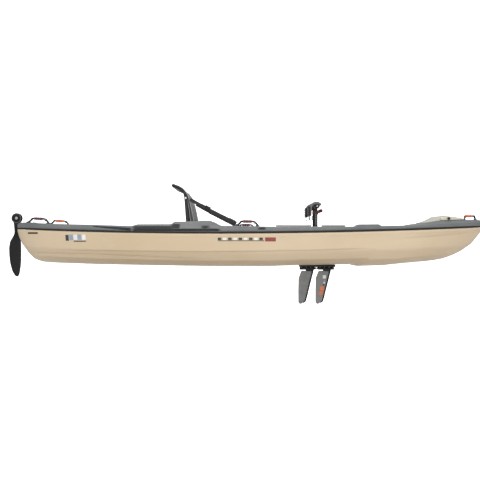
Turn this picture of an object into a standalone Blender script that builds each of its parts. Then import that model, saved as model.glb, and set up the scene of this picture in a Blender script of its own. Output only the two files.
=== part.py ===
"""Pedal-drive sit-on-top boat with flapping fins, a kick-up rudder and a folding seat.

Frame: x runs from stern to bow, y to port, z up, in metres. The origin is the middle of
the flat of the keel, amidships, and every length below is a real size of the boat.
"""

import math

import bmesh
import bpy
import numpy as np
from mathutils import Matrix, Vector

# Driving dimensions of the hull
STERN_TIP = -1.590
BOW_TIP = 1.585
KEEL_AFT = -1.500
KEEL_FORE = 1.356
HALF_BEAM = 0.430
HULL_WALL = 0.005
DECK_WALL = 0.004
TRIM_HEIGHT = 0.0104
GAP = 0.0004

# Drive well and pedal drive
WELL_AFT = 0.325
WELL_FORE = 0.555
WELL_HALF = 0.0355
TUNNEL_TOP = 0.205
AXLE_X = 0.427
AXLE_Z = 0.236
AXLE_R = 0.006
FIN_AXIS_Z = -0.0193
SPINDLE_X = 0.424
SPINDLE_Z = 0.400
FRONT_FIN_SHIFT = 0.118

# Seat
SEAT_HINGE = Vector((-0.424, 0.0, 0.270))
SEAT_HALF = 0.235
SEAT_TUBE_R = 0.0105
SEAT_FLOOR = 0.135

# Rudder
YAW_X = -1.5975
HUB_X = -1.623
HUB_Z = 0.3245

# Bow hatch
LID_AFT = 1.246
LID_FORE = 1.414
LID_HINGE = Vector((1.418, 0.0, 0.3165))

FINISHES = {
    "hull_plastic": ((0.64, 0.51, 0.35), 0.42, 0.0),
    "deck_plastic": ((0.13, 0.14, 0.145), 0.48, 0.0),
    "fairing_plastic": ((0.52, 0.50, 0.45), 0.45, 0.0),
    "lid_plastic": ((0.40, 0.40, 0.30), 0.5, 0.0),
    "black_plastic": ((0.02, 0.02, 0.021), 0.45, 0.0),
    "fin_plastic": ((0.19, 0.20, 0.21), 0.5, 0.0),
    "rudder_plastic": ((0.03, 0.03, 0.032), 0.5, 0.0),
    "grip_maroon": ((0.12, 0.025, 0.03), 0.6, 0.0),
    "grip_orange": ((0.75, 0.20, 0.10), 0.6, 0.0),
    "rubber": ((0.015, 0.015, 0.015), 0.8, 0.0),
    "track_metal": ((0.30, 0.31, 0.32), 0.4, 0.9),
    "steel": ((0.60, 0.60, 0.61), 0.3, 1.0),
    "webbing": ((0.02, 0.02, 0.02), 0.85, 0.0),
    "seat_fabric": ((0.10, 0.10, 0.105), 0.9, 0.0),
}

for leftover in list(bpy.data.objects):
    bpy.data.objects.remove(leftover, do_unlink=True)

PARTS = bpy.data.collections.new("pedal_boat")
CUTTERS = bpy.data.collections.new("cutters")
bpy.context.scene.collection.children.link(PARTS)
bpy.context.scene.collection.children.link(CUTTERS)


def finish(name):
    """The material of one finish, made when a piece first needs it."""
    material = bpy.data.materials.get(name)
    if material is None:
        colour, roughness, metallic = FINISHES[name]
        material = bpy.data.materials.new(name)
        material.use_nodes = True
        shader = material.node_tree.nodes["Principled BSDF"]
        shader.inputs["Base Color"].default_value = (*colour, 1.0)
        shader.inputs["Roughness"].default_value = roughness
        shader.inputs["Metallic"].default_value = metallic
    return material


# Building helpers

def place(name, data, finish_name):
    """Put mesh or curve data in the scene as a named piece."""
    data.materials.append(finish(finish_name))
    piece = bpy.data.objects.new(name, data)
    PARTS.objects.link(piece)
    return piece


def mesh_of(name, bm):
    mesh = bpy.data.meshes.new(name)
    bm.to_mesh(mesh)
    bm.free()
    return mesh


def smooth(piece, degrees=35):
    piece.data.shade_smooth()
    piece.data.set_sharp_from_angle(angle=math.radians(degrees))
    return piece


def bevel(piece, width, segments=1):
    edges = piece.modifiers.new("edges", "BEVEL")
    edges.width = width
    edges.segments = segments
    edges.limit_method = "ANGLE"
    return piece


def pivot(piece, point):
    """Move a piece's origin to its joint, leaving the piece where it is."""
    point = Vector(point)
    piece.data.transform(Matrix.Translation(-point))
    piece.location = point
    return piece


def box(name, low, high, finish_name, edge=0.0):
    """A block between two corners, with its edges bevelled."""
    low = Vector(low)
    high = Vector(high)
    bm = bmesh.new()
    bmesh.ops.create_cube(bm, size=1.0)
    bmesh.ops.scale(bm, vec=high - low, verts=bm.verts)
    bmesh.ops.translate(bm, vec=(low + high) / 2, verts=bm.verts)
    piece = place(name, mesh_of(name, bm), finish_name)
    if edge:
        bevel(piece, edge)
    return piece


def rod(name, start, end, radius, finish_name, sides=16, end_radius=None):
    """A round bar, or a cone, from one point to another."""
    start = Vector(start)
    end = Vector(end)
    length = (end - start).length
    turn = (end - start).to_track_quat("Z", "Y").to_matrix().to_4x4()
    bm = bmesh.new()
    bmesh.ops.create_cone(
        bm, cap_ends=True, segments=sides, radius1=radius,
        radius2=radius if end_radius is None else end_radius, depth=length,
        matrix=Matrix.Translation((start + end) / 2) @ turn,
    )
    return smooth(place(name, mesh_of(name, bm), finish_name))


def turned(name, profile, base, direction, finish_name, sides=20):
    """A turned piece: (radius, height) points from top to bottom, and back up a bore."""
    bm = bmesh.new()
    points = [bm.verts.new((radius, 0.0, height)) for radius, height in profile]
    for first, second in zip(points, points[1:]):
        bm.edges.new((first, second))
    if profile[0][0] > 0:
        bm.edges.new((points[-1], points[0]))
    piece = place(name, mesh_of(name, bm), finish_name)
    screw = piece.modifiers.new("turn", "SCREW")
    screw.steps = sides
    screw.render_steps = sides
    screw.use_merge_vertices = True
    screw.merge_threshold = 0.00005
    piece.matrix_world = (
        Matrix.Translation(Vector(base)) @ Vector(direction).to_track_quat("Z", "Y").to_matrix().to_4x4()
    )
    return piece


def tube(name, points, radius, finish_name, closed=False, resolution=2):
    """A round tube or cord through a list of points."""
    curve = bpy.data.curves.new(name, "CURVE")
    curve.dimensions = "3D"
    curve.bevel_depth = radius
    curve.bevel_resolution = resolution
    curve.use_fill_caps = not closed
    curve.render_resolution_u = 0
    spline = curve.splines.new("POLY")
    spline.points.add(len(points) - 1)
    for target, point in zip(spline.points, points):
        target.co = (*point, 1.0)
    spline.use_cyclic_u = closed
    return place(name, curve, finish_name)


def outline_plate(name, outlines, low, high, finish_name, upright=True):
    """A flat piece cut to an outline; upright outlines are (x, z) and run from y low to y high.

    Level outlines are (x, y) and run from z low to z high. A second outline is a hole.
    """
    curve = bpy.data.curves.new(name, "CURVE")
    curve.dimensions = "2D"
    curve.fill_mode = "BOTH"
    curve.extrude = (high - low) / 2
    curve.render_resolution_u = 0
    for outline in outlines:
        spline = curve.splines.new("POLY")
        spline.points.add(len(outline) - 1)
        for target, (across, along) in zip(spline.points, outline):
            target.co = (across, along, 0.0, 1.0)
        spline.use_cyclic_u = True
    piece = place(name, curve, finish_name)
    if upright:
        piece.matrix_world = (
            Matrix.Translation((0, (low + high) / 2, 0)) @ Matrix.Rotation(math.radians(90), 4, "X")
        )
    else:
        piece.location.z = (low + high) / 2
    return piece


def as_mesh(piece):
    """The piece's shape as a mesh whose place is in its points, so that it can be cut or joined."""
    bpy.context.view_layer.update()
    graph = bpy.context.evaluated_depsgraph_get()
    mesh = bpy.data.meshes.new_from_object(piece.evaluated_get(graph))
    mesh.transform(piece.matrix_world)
    bm = bmesh.new()
    bm.from_mesh(mesh)
    bmesh.ops.remove_doubles(bm, verts=bm.verts, dist=0.00001)
    bm.to_mesh(mesh)
    bm.free()
    name = piece.name
    bpy.data.objects.remove(piece, do_unlink=True)
    mesh.name = name
    solid = bpy.data.objects.new(name, mesh)
    PARTS.objects.link(solid)
    return solid


def combine(piece, other, operation):
    """Cut the other shape from the piece, or join it on, and put the other with the cutters."""
    PARTS.objects.unlink(other)
    CUTTERS.objects.link(other)
    other.hide_render = True
    other.display_type = "WIRE"
    change = piece.modifiers.new(other.name, "BOOLEAN")
    change.operation = operation
    change.object = other
    return piece


def cut(piece, cutter):
    return combine(piece, cutter, "DIFFERENCE")


def join(piece, other):
    return combine(piece, other, "UNION")


def arc(centre, radius, start, end, steps):
    """Points of an arc in a plane, with the angles in degrees."""
    angles = np.radians(np.linspace(start, end, steps))
    return [(centre[0] + radius * math.cos(a), centre[1] + radius * math.sin(a)) for a in angles]


def rounded_outline(corners, radius, steps=4):
    """A convex outline with every corner turned to an arc, corners given anticlockwise."""
    result = []
    for index, corner in enumerate(corners):
        corner = Vector(corner)
        before = (Vector(corners[index - 1]) - corner).normalized()
        after = (Vector(corners[(index + 1) % len(corners)]) - corner).normalized()
        half_angle = before.angle(after) / 2
        centre = corner + (before + after).normalized() * (radius / math.sin(half_angle))
        first = corner + before * (radius / math.tan(half_angle)) - centre
        last = corner + after * (radius / math.tan(half_angle)) - centre
        for share in np.linspace(0, 1, steps):
            spoke = first.lerp(last, share).normalized() * radius
            result.append(tuple(centre + spoke))
    return result


def sheet(name, grid, finish_name, upward):
    """An open surface through rows of points that run along the boat."""
    bm = bmesh.new()
    points = [[bm.verts.new(point) for point in row] for row in grid]
    for row, following in zip(points, points[1:]):
        for column in range(len(row) - 1):
            face = [row[column], row[column + 1], following[column + 1], following[column]]
            bm.faces.new(face[::-1] if upward else face)
    bmesh.ops.remove_doubles(bm, verts=bm.verts, dist=0.00001)
    return place(name, mesh_of(name, bm), finish_name)


def solid_loft(name, rings, finish_name):
    """A closed solid through rings of points, with flat ends."""
    bm = bmesh.new()
    loops = [[bm.verts.new(point) for point in ring] for ring in rings]
    count = len(loops[0])
    for ring, following in zip(loops, loops[1:]):
        for index in range(count):
            after = (index + 1) % count
            bm.faces.new((ring[index], ring[after], following[after], following[index]))
    bm.faces.new(loops[0])
    bm.faces.new(loops[-1])
    bmesh.ops.recalc_face_normals(bm, faces=bm.faces)
    return place(name, mesh_of(name, bm), finish_name)


def wall(piece, thickness):
    """Give an open surface a wall on its inner side."""
    solid = piece.modifiers.new("wall", "SOLIDIFY")
    solid.thickness = thickness
    solid.offset = -1.0
    return piece


# Lines of the hull

def plan(share):
    """Half-breadth as a share of the widest, at a share of the length from stern to bow."""
    stern = (1 - (1 - min(share / 0.5, 1)) ** 2.5) ** 0.35
    bow = (1 - (1 - min((1 - share) / 0.5, 1)) ** 2.4) ** 0.52
    return stern * bow


def share_at(x):
    return (x - STERN_TIP) / (BOW_TIP - STERN_TIP)


def half_breadth(x):
    return HALF_BEAM * plan(min(max(share_at(x), 0.0), 1.0))


def seam_height(x):
    """The seam between hull and deck, a gentle sheer that is lowest a little aft of amidships."""
    run = x + 0.25
    return 0.215 + (0.0325 * (run / 1.34) ** 2 if run < 0 else 0.048 * (run / 1.85) ** 2)


KEEL_LINE = [
    (-1.500, 0.065), (-1.479, 0.051), (-1.458, 0.037), (-1.417, 0.027), (-1.328, 0.0216),
    (-1.050, 0.013), (-0.710, 0.0065), (-0.300, 0.0), (0.100, 0.0), (0.300, 0.0065),
    (0.672, 0.0125), (0.684, 0.0), (0.870, 0.005), (1.010, 0.019), (1.150, 0.030),
    (1.218, 0.037), (1.287, 0.048), (1.356, 0.068),
]
STERN_STEM = [
    (0.065, -1.500), (0.092, -1.520), (0.127, -1.541), (0.154, -1.561), (0.2025, -1.582), (0.236, -1.590),
    (0.250, -1.590),
]
BOW_STEM = [
    (0.068, 1.356), (0.103, 1.425), (0.151, 1.493), (0.205, 1.537), (0.238, 1.562), (0.252, 1.585),
    (0.270, 1.585),
]
HULL_SECTION = [
    (0.0, 0.0), (0.28, 0.0), (0.60, 0.07), (0.80, 0.21), (0.900, 0.43),
    (0.922, 0.49), (0.955, 0.70), (0.985, 0.88), (1.0, 0.95), (1.0, 1.0),
]
GUNWALE_LINE = [
    (-1.590, 0.262), (-1.575, 0.279), (-1.550, 0.2875), (-1.500, 0.290), (-1.250, 0.277), (-0.900, 0.267),
    (-0.760, 0.262), (-0.725, 0.273), (-0.510, 0.2735), (-0.495, 0.289), (-0.400, 0.2895), (-0.300, 0.2955),
    (-0.270, 0.294), (-0.235, 0.280), (-0.206, 0.2635), (-0.110, 0.262), (0.120, 0.2575), (0.600, 0.2585),
    (0.632, 0.260), (0.640, 0.272), (0.780, 0.274), (0.790, 0.263), (1.000, 0.268), (1.250, 0.282),
    (1.400, 0.292), (1.500, 0.300), (1.562, 0.303), (1.578, 0.293), (1.585, 0.277),
]
FLOOR_LINE = [
    (-1.590, 0.262), (-1.575, 0.279), (-1.550, 0.2875), (-1.500, 0.290), (-1.330, 0.2812), (-1.290, 0.205),
    (-0.700, 0.205), (-0.655, 0.238), (-0.585, 0.238), (-0.545, SEAT_FLOOR), (0.100, SEAT_FLOOR),
    (0.200, 0.115), (0.860, 0.115), (1.000, 0.200), (1.060, 0.262), (1.100, 0.284), (1.240, 0.302),
    (1.450, 0.311), (1.530, 0.311), (1.562, 0.306), (1.578, 0.293), (1.585, 0.277),
]
STATIONS = [
    -1.590, -1.584, -1.572, -1.550, -1.500, -1.430, -1.330, -1.290, -1.180, -1.050, -0.900, -0.760, -0.725,
    -0.700, -0.655, -0.585, -0.545, -0.510, -0.495, -0.400, -0.300, -0.270, -0.235, -0.206, -0.110,
    -0.020, 0.100, 0.200, 0.285, 0.300, 0.430, 0.585, 0.600, 0.632, 0.640, 0.780, 0.790, 0.824,
    0.838, 0.860, 0.930, 1.000, 1.060, 1.100, 1.170, 1.240, 1.320, 1.400, 1.450, 1.500, 1.545, 1.568,
    1.580, 1.585,
]


def read_line(line, x):
    places, heights = zip(*line)
    return float(np.interp(x, places, heights))


def mirrored(half):
    """A half section from the centreline out, made whole from starboard to port."""
    return [(x, -y, z) for x, y, z in half[:0:-1]] + half


def hull_half(station):
    """Half the hull section at one station, from the keel out and up to the seam."""
    share = share_at(station)
    keel_x = KEEL_AFT + share * (KEEL_FORE - KEEL_AFT)
    keel_z = read_line(KEEL_LINE, keel_x)
    seam_z = seam_height(station)
    half = []
    for out, up in HULL_SECTION:
        height = keel_z + up * (seam_z - keel_z)
        aft_z = KEEL_LINE[0][1] + up * (seam_height(STERN_TIP) - KEEL_LINE[0][1])
        fore_z = KEEL_LINE[-1][1] + up * (seam_height(BOW_TIP) - KEEL_LINE[-1][1])
        aft_x = read_line(STERN_STEM, aft_z)
        fore_x = read_line(BOW_STEM, fore_z)
        half.append((aft_x + share * (fore_x - aft_x), HALF_BEAM * out * plan(share), height))
    return half


def deck_half(station):
    """Half the deck section at one station, from the centreline out and down to the seam."""
    breadth = half_breadth(station)
    foot = seam_height(station) + TRIM_HEIGHT + 2 * GAP
    rail = read_line(GUNWALE_LINE, station)
    floor = read_line(FLOOR_LINE, station)
    on_tunnel = 0.2925 < station < 0.5925
    top = TUNNEL_TOP if on_tunnel else floor
    ease = min(1.0, breadth / 0.12)
    inner_rail = max(breadth - 0.070, 0.78 * breadth)
    floor_edge = max(breadth - 0.130, 0.60 * breadth)
    tunnel = min(0.080, 0.25 * breadth)
    depth = rail - floor
    return [
        (station, 0.0, top),
        (station, tunnel, top),
        (station, tunnel + 0.012 * ease, floor),
        (station, floor_edge - 0.012 * ease, floor),
        (station, floor_edge, floor + 0.12 * depth),
        (station, inner_rail - 0.008 * ease, rail - 0.12 * depth),
        (station, inner_rail, rail),
        (station, breadth - 0.010 * ease, rail),
        (station, breadth + 0.001 * ease, rail - 0.25 * (rail - foot)),
        (station, breadth + 0.004 * ease, foot + 0.35 * (rail - foot)),
        (station, breadth, foot),
    ]


def make_hull():
    hull = sheet("hull_shell", [mirrored(hull_half(x)) for x in STATIONS], "hull_plastic", upward=False)
    wall(hull, HULL_WALL)
    well = box("hull_well_cutter", (WELL_AFT, -WELL_HALF, -0.02), (WELL_FORE, WELL_HALF, 0.06), "rubber")
    cut(hull, well)
    smooth(hull)
    return hull


def make_deck():
    deck = sheet("deck_shell", [mirrored(deck_half(x)) for x in STATIONS], "deck_plastic", upward=True)
    wall(deck, DECK_WALL)
    well = box("deck_well_cutter", (WELL_AFT, -WELL_HALF, 0.15), (WELL_FORE, WELL_HALF, 0.25), "rubber")
    cut(deck, well)
    hatch = box("deck_hatch_cutter", (1.268, -0.085, 0.26), (1.392, 0.085, 0.34), "rubber")
    cut(deck, hatch)
    smooth(deck)
    return deck


def make_seam_trim():
    """The rubber bumper strip pinched in the seam, right round the boat."""
    port = [(x, half_breadth(x) + 0.003 * min(1.0, half_breadth(x) / 0.05)) for x in STATIONS]
    loop = port + [(x, -y) for x, y in port[-2:0:-1]]
    bm = bmesh.new()
    low = [bm.verts.new((x, y, seam_height(x) + GAP)) for x, y in loop]
    high = [bm.verts.new((x, y, seam_height(x) + GAP + TRIM_HEIGHT)) for x, y in loop]
    for index in range(len(loop)):
        after = (index + 1) % len(loop)
        bm.faces.new((low[after], low[index], high[index], high[after]))
    trim = place("seam_trim", mesh_of("seam_trim", bm), "rubber")
    return wall(trim, 0.008)


def make_well_liner():
    """The rectangular trunk that joins the hull's hole to the deck's, with a flange on top."""
    side = WELL_HALF - 0.0005
    aft = WELL_AFT + 0.0005
    fore = WELL_FORE - 0.0005
    lip = 0.0125
    skin = 0.003
    top = TUNNEL_TOP + 0.0035
    liner = box("drive_well_liner", (aft, -side, 0.0125), (fore, side, top - 0.001), "deck_plastic")
    reach = side + lip
    bore = side - skin
    join(liner, box("liner_flange", (aft - lip, -reach, TUNNEL_TOP + GAP), (fore + lip, reach, top), "rubber"))
    return cut(liner, box("liner_bore", (aft + skin, -bore, -0.02), (fore - skin, bore, 0.25), "rubber"))


def make_gear_tracks():
    """Four aluminium accessory tracks screwed along the gunwales, each with a T-slot."""
    for side_name, side in (("port", 1), ("starboard", -1)):
        for place_name, aft, fore in (("aft", 0.136, 0.353), ("fore", 0.421, 0.563)):
            y = side * 0.382
            base = 0.2592
            name = f"gear_track_{place_name}_{side_name}"
            track = box(name, (aft, y - 0.017, base), (fore, y + 0.017, base + 0.008), "track_metal")
            low = (aft - 0.01, y - 0.0045, base + 0.003)
            high = (fore + 0.01, y + 0.0045, base + 0.02)
            cut(track, box(f"{name}_slot", low, high, "rubber"))


# Bow

def arch_ring(x, half_width, base, crest, power, points=9):
    """A section with a flat foot and a rounded top: a superellipse over the foot."""
    angles = np.linspace(0, math.pi, points)
    ring = []
    for angle in angles:
        across = math.copysign(abs(math.cos(angle)) ** (2 / power), math.cos(angle))
        ring.append((x, half_width * across, base + (crest - base) * math.sin(angle) ** (2 / power)))
    return ring


def crown(x):
    return read_line(FLOOR_LINE, x)


def make_bow():
    crests = [(1.145, 0.2960, 0.085), (1.172, 0.3010, 0.106), (1.202, 0.3120, 0.126), (1.228, 0.3250, 0.138),
              (1.243, 0.3310, 0.142)]
    rings = [arch_ring(x, half, crown(x) + 0.0007, crest, 3.0) for x, crest, half in crests]
    smooth(solid_loft("bow_fairing", rings, "fairing_plastic"))

    slope = math.atan2(crown(1.45) - crown(1.24), 0.21)
    outer = rounded_outline([(1.252, -0.128), (1.408, -0.100), (1.408, 0.100), (1.252, 0.128)], 0.02)
    inner = rounded_outline([(1.262, -0.118), (1.398, -0.091), (1.398, 0.091), (1.262, 0.118)], 0.014)
    gasket = as_mesh(outline_plate("hatch_gasket", [outer, inner], -0.0013, 0.0013, "rubber", upright=False))
    middle = 1.33
    gasket.data.transform(
        Matrix.Translation((middle, 0, crown(middle) + 0.0018)) @ Matrix.Rotation(-slope, 4, "Y")
        @ Matrix.Translation((-middle, 0, 0))
    )

    lid_line = [(LID_AFT, 0.137, 0.333), (1.266, 0.135, 0.3375), (1.33, 0.124, 0.3325), (1.398, 0.112, 0.3245),
                (LID_FORE, 0.109, 0.3210)]
    rings = [arch_ring(x, half, crown(x) + 0.0036, crest, 5.0, 11) for x, half, crest in lid_line]
    pivot(smooth(solid_loft("bow_hatch_lid", rings, "lid_plastic")), LID_HINGE)

    latch_y = -0.1305
    latch_z = 0.3185
    latch = turned("hatch_latch", [(0.0, 0.006), (0.0075, 0.005), (0.009, 0.0), (0.0, 0.0)],
                   (1.300, latch_y - 0.0004, latch_z), (0, -1, 0), "black_plastic")
    wing_low = (1.288, latch_y - 0.0085, latch_z - 0.002)
    wing_high = (1.312, latch_y - 0.003, latch_z + 0.002)
    latch = join(as_mesh(latch), box("latch_wing", wing_low, wing_high, "black_plastic"))
    pivot(latch, (1.300, latch_y, latch_z))


# Carry handles

HANDLES = [
    # name, aft foot x, forward foot x, side y, aft foot z, forward foot z, grip centre share, grip finish
    ("side_port", -0.108, 0.019, 0.402, 0.2630, 0.2614, 0.34, "grip_maroon"),
    ("side_starboard", -0.108, 0.019, -0.402, 0.2630, 0.2614, 0.34, "grip_maroon"),
    ("stern_port", -1.463, -1.335, 0.222, 0.2894, 0.2828, 0.47, "grip_orange"),
    ("stern_starboard", -1.463, -1.335, -0.222, 0.2894, 0.2828, 0.47, "grip_maroon"),
    ("bow", 1.4515, 1.5285, 0.0, 0.3120, 0.3120, 0.30, "grip_orange"),
]


def make_handles():
    """Bent straps standing on the deck, each with a moulded grip on its straight top."""
    for name, aft, fore, side, aft_foot, fore_foot, share, grip_finish in HANDLES:
        length = fore - aft
        slope = (fore_foot - aft_foot) / length
        rise = 0.0275
        run = 0.030 if length > 0.1 else 0.010
        radius = 0.0042
        bend = 0.35 * rise
        arch = [
            (aft, radius), (aft + 0.35 * run, bend), (aft + 0.8 * run, 0.85 * rise), (aft + run, rise),
            (fore - run, rise), (fore - 0.55 * run, 0.82 * rise), (fore - 0.15 * run, 0.45 * rise),
            (fore, radius),
        ]
        points = [(x, side, aft_foot + slope * (x - aft) + height) for x, height in arch]
        tube(f"handle_strap_{name}", points, radius, "rubber")
        top_length = length - 2 * run
        grip_length = min(0.055, 0.62 * top_length)
        middle = aft + run + share * top_length
        start = max(aft + run + 0.003, middle - grip_length / 2)
        bore = radius + 0.0004
        outer = 0.0078
        profile = [
            (bore, grip_length), (outer - 0.0015, grip_length), (outer, grip_length - 0.003), (outer, 0.003),
            (outer - 0.0015, 0.0), (bore, 0.0),
        ]
        middle_z = aft_foot + slope * (start - aft) + rise
        turned(f"handle_grip_{name}", profile, (start, side, middle_z), (1, 0, slope), grip_finish, sides=14)


# Rudder

def make_rudder():
    tongue = 0.008
    footprint = [(-1.490, 0.022), (-1.572, 0.022), (-1.582, tongue)] + arc((YAW_X, 0), tongue, 90, 270, 9)
    footprint += [(-1.582, -tongue), (-1.572, -0.022), (-1.490, -0.022)]
    bracket = outline_plate("rudder_bracket", [footprint], 0.2908, 0.2946, "black_plastic", upright=False)
    cut(as_mesh(bracket), rod("bracket_hole", (YAW_X, 0, 0.28), (YAW_X, 0, 0.31), 0.0034, "rubber"))

    pin = [(0.0, 0.2975), (0.0055, 0.2970), (0.0055, 0.2950), (0.003, 0.2950), (0.003, 0.2395),
           (0.0055, 0.2395), (0.0055, 0.2365), (0.0, 0.2360)]
    turned("rudder_pintle", pin, (YAW_X, 0, 0), (0, 0, 1), "steel", sides=16)

    cheek = [(HUB_X - 0.014, 0.2415), (YAW_X - 0.003, 0.2415), (YAW_X - 0.003, 0.2885), (-1.6082, 0.2895),
             (-1.6082, 0.2965)]
    cheek += arc((HUB_X, HUB_Z), 0.035, -50, 228, 16)
    cheek += [(HUB_X - 0.019, 0.292)]
    yoke = as_mesh(outline_plate("rudder_yoke", [cheek], -0.0115, 0.0115, "rudder_plastic"))
    slot = box("yoke_slot", (-1.70, -0.0072, 0.20), (YAW_X - 0.0078, 0.0072, 0.40), "rubber")
    cut(yoke, slot)
    top_slot = box("yoke_top_slot", (-1.70, -0.0072, 0.2925), (-1.50, 0.0072, 0.40), "rubber")
    cut(yoke, top_slot)
    join(yoke, rod("yoke_sleeve", (YAW_X, 0, 0.2415), (YAW_X, 0, 0.2885), 0.0062, "rubber", sides=20))
    cut(yoke, rod("yoke_bore", (YAW_X, 0, 0.23), (YAW_X, 0, 0.30), 0.0034, "rubber"))
    cut(yoke, rod("yoke_hub_bore", (HUB_X, -0.03, HUB_Z), (HUB_X, 0.03, HUB_Z), 0.0054, "rubber"))
    pivot(yoke, (YAW_X, 0, 0.265))

    bolt = [(0.0, 0.0175), (0.007, 0.0168), (0.009, 0.0150), (0.009, 0.0119), (0.005, 0.0119), (0.005, -0.0119),
            (0.008, -0.0119), (0.008, -0.0160), (0.0, -0.0160)]
    turned("rudder_pivot_bolt", bolt, (HUB_X, 0, HUB_Z), (0, -1, 0), "steel", sides=16)

    blade_outline = [
        (-1.640, 0.315), (-1.640, 0.218), (-1.657, 0.190), (-1.672, 0.162), (-1.678, 0.120), (-1.676, 0.070),
        (-1.670, 0.020), (-1.652, -0.038), (-1.636, -0.064), (-1.6225, -0.076), (-1.608, -0.052),
        (-1.600, -0.010), (-1.596, 0.027), (-1.594, 0.106), (-1.598, 0.165), (-1.6085, 0.222),
        (-1.6085, 0.315),
    ]
    blade = as_mesh(outline_plate("rudder_blade", [blade_outline], -0.0055, 0.0055, "rudder_plastic"))
    bevel(blade, 0.0018)
    join(blade, rod("blade_hub", (HUB_X, -0.0065, HUB_Z), (HUB_X, 0.0065, HUB_Z), 0.030, "rubber", sides=28))
    cut(blade, rod("blade_bore", (HUB_X, -0.02, HUB_Z), (HUB_X, 0.02, HUB_Z), 0.0054, "rubber"))
    pivot(blade, (HUB_X, 0, HUB_Z))


def make_steering():
    """The hand lever beside the seat that turns the rudder through cables inside the hull."""
    post_x = 0.060
    post_y = 0.225
    floor = SEAT_FLOOR + 0.0006
    post = [(0.0, 0.2010), (0.006, 0.2000), (0.006, 0.1850), (0.022, 0.1850), (0.026, 0.1780), (0.030, floor),
            (0.0, floor)]
    turned("steering_post", post, (post_x, post_y, 0), (0, 0, 1), "black_plastic")
    lever_outline = [(post_x + 0.092, post_y + 0.009)] + arc((post_x, post_y), 0.0125, 60, 300, 9)
    lever_outline += [(post_x + 0.092, post_y - 0.009)] + arc((post_x + 0.092, post_y), 0.009, -60, 60, 5)
    lever = outline_plate("steering_lever", [lever_outline], 0.1853, 0.1945, "black_plastic", upright=False)
    lever = as_mesh(lever)
    cut(lever, rod("lever_bore", (post_x, post_y, 0.17), (post_x, post_y, 0.22), 0.0064, "rubber"))
    knob_x = post_x + 0.09
    join(lever, rod("lever_knob", (knob_x, post_y, 0.190), (knob_x, post_y, 0.222), 0.007, "rubber",
                    end_radius=0.010))
    pivot(lever, (post_x, post_y, 0.190))


# Pedal drive

def make_drive_body():
    base = box("drive_base_plate", (0.3185, -0.045, -0.009), (0.561, 0.045, 0.0055), "black_plastic", edge=0.0015)
    for name, aft, fore in (("aft", 0.3215, 0.3285), ("fore", 0.5475, 0.5565)):
        join(base, box(f"lug_{name}", (aft, -0.010, -0.029), (fore, 0.010, 0.0), "rubber"))
    cut(base, box("chain_slot", (0.4255, -0.0125, -0.02), (0.4455, 0.0125, 0.02), "rubber"))
    cut(base, rod("lug_bore", (0.30, 0, FIN_AXIS_Z), (0.58, 0, FIN_AXIS_Z), 0.0033, "rubber"))

    rod("fin_shaft", (0.3195, 0, FIN_AXIS_Z), (0.5585, 0, FIN_AXIS_Z), 0.0029, "steel", sides=14)

    for name, side in (("port", 1), ("starboard", -1)):
        outer = 0.029
        wall_inside = 0.026
        lows = sorted((side * 0.0003, side * outer))
        low_corner = (0.333, lows[0], 0.006)
        case = box(f"drive_case_{name}", low_corner, (0.547, lows[1], 0.258), "black_plastic", edge=0.002)
        hollow = sorted((-side * 0.01, side * wall_inside))
        cut(case, box(f"case_hollow_{name}", (0.337, hollow[0], 0.010), (0.543, hollow[1], 0.254), "rubber"))
        bore_inner = (AXLE_X, side * 0.02, AXLE_Z)
        cut(case, rod(f"case_bore_{name}", bore_inner, (AXLE_X, side * 0.04, AXLE_Z), 0.0110, "rubber"))
        cut(case, box(f"case_mouth_{name}", (0.4255, -0.0125, 0.0), (0.4455, 0.0125, 0.02), "rubber"))

    rod("crank_axle", (AXLE_X, -0.050, AXLE_Z), (AXLE_X, 0.050, AXLE_Z), AXLE_R, "steel")

    for name, x in (("rear", 0.4300), ("front", 0.4410)):
        legs = 0.0088
        sag = arc((0, FIN_AXIS_Z), legs, 180, 360, 9)
        points = [(x, -legs, 0.205)] + [(x, y, z) for y, z in sag] + [(x, legs, 0.205)]
        tube(f"drive_chain_{name}", points, 0.0014, "steel")


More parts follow.
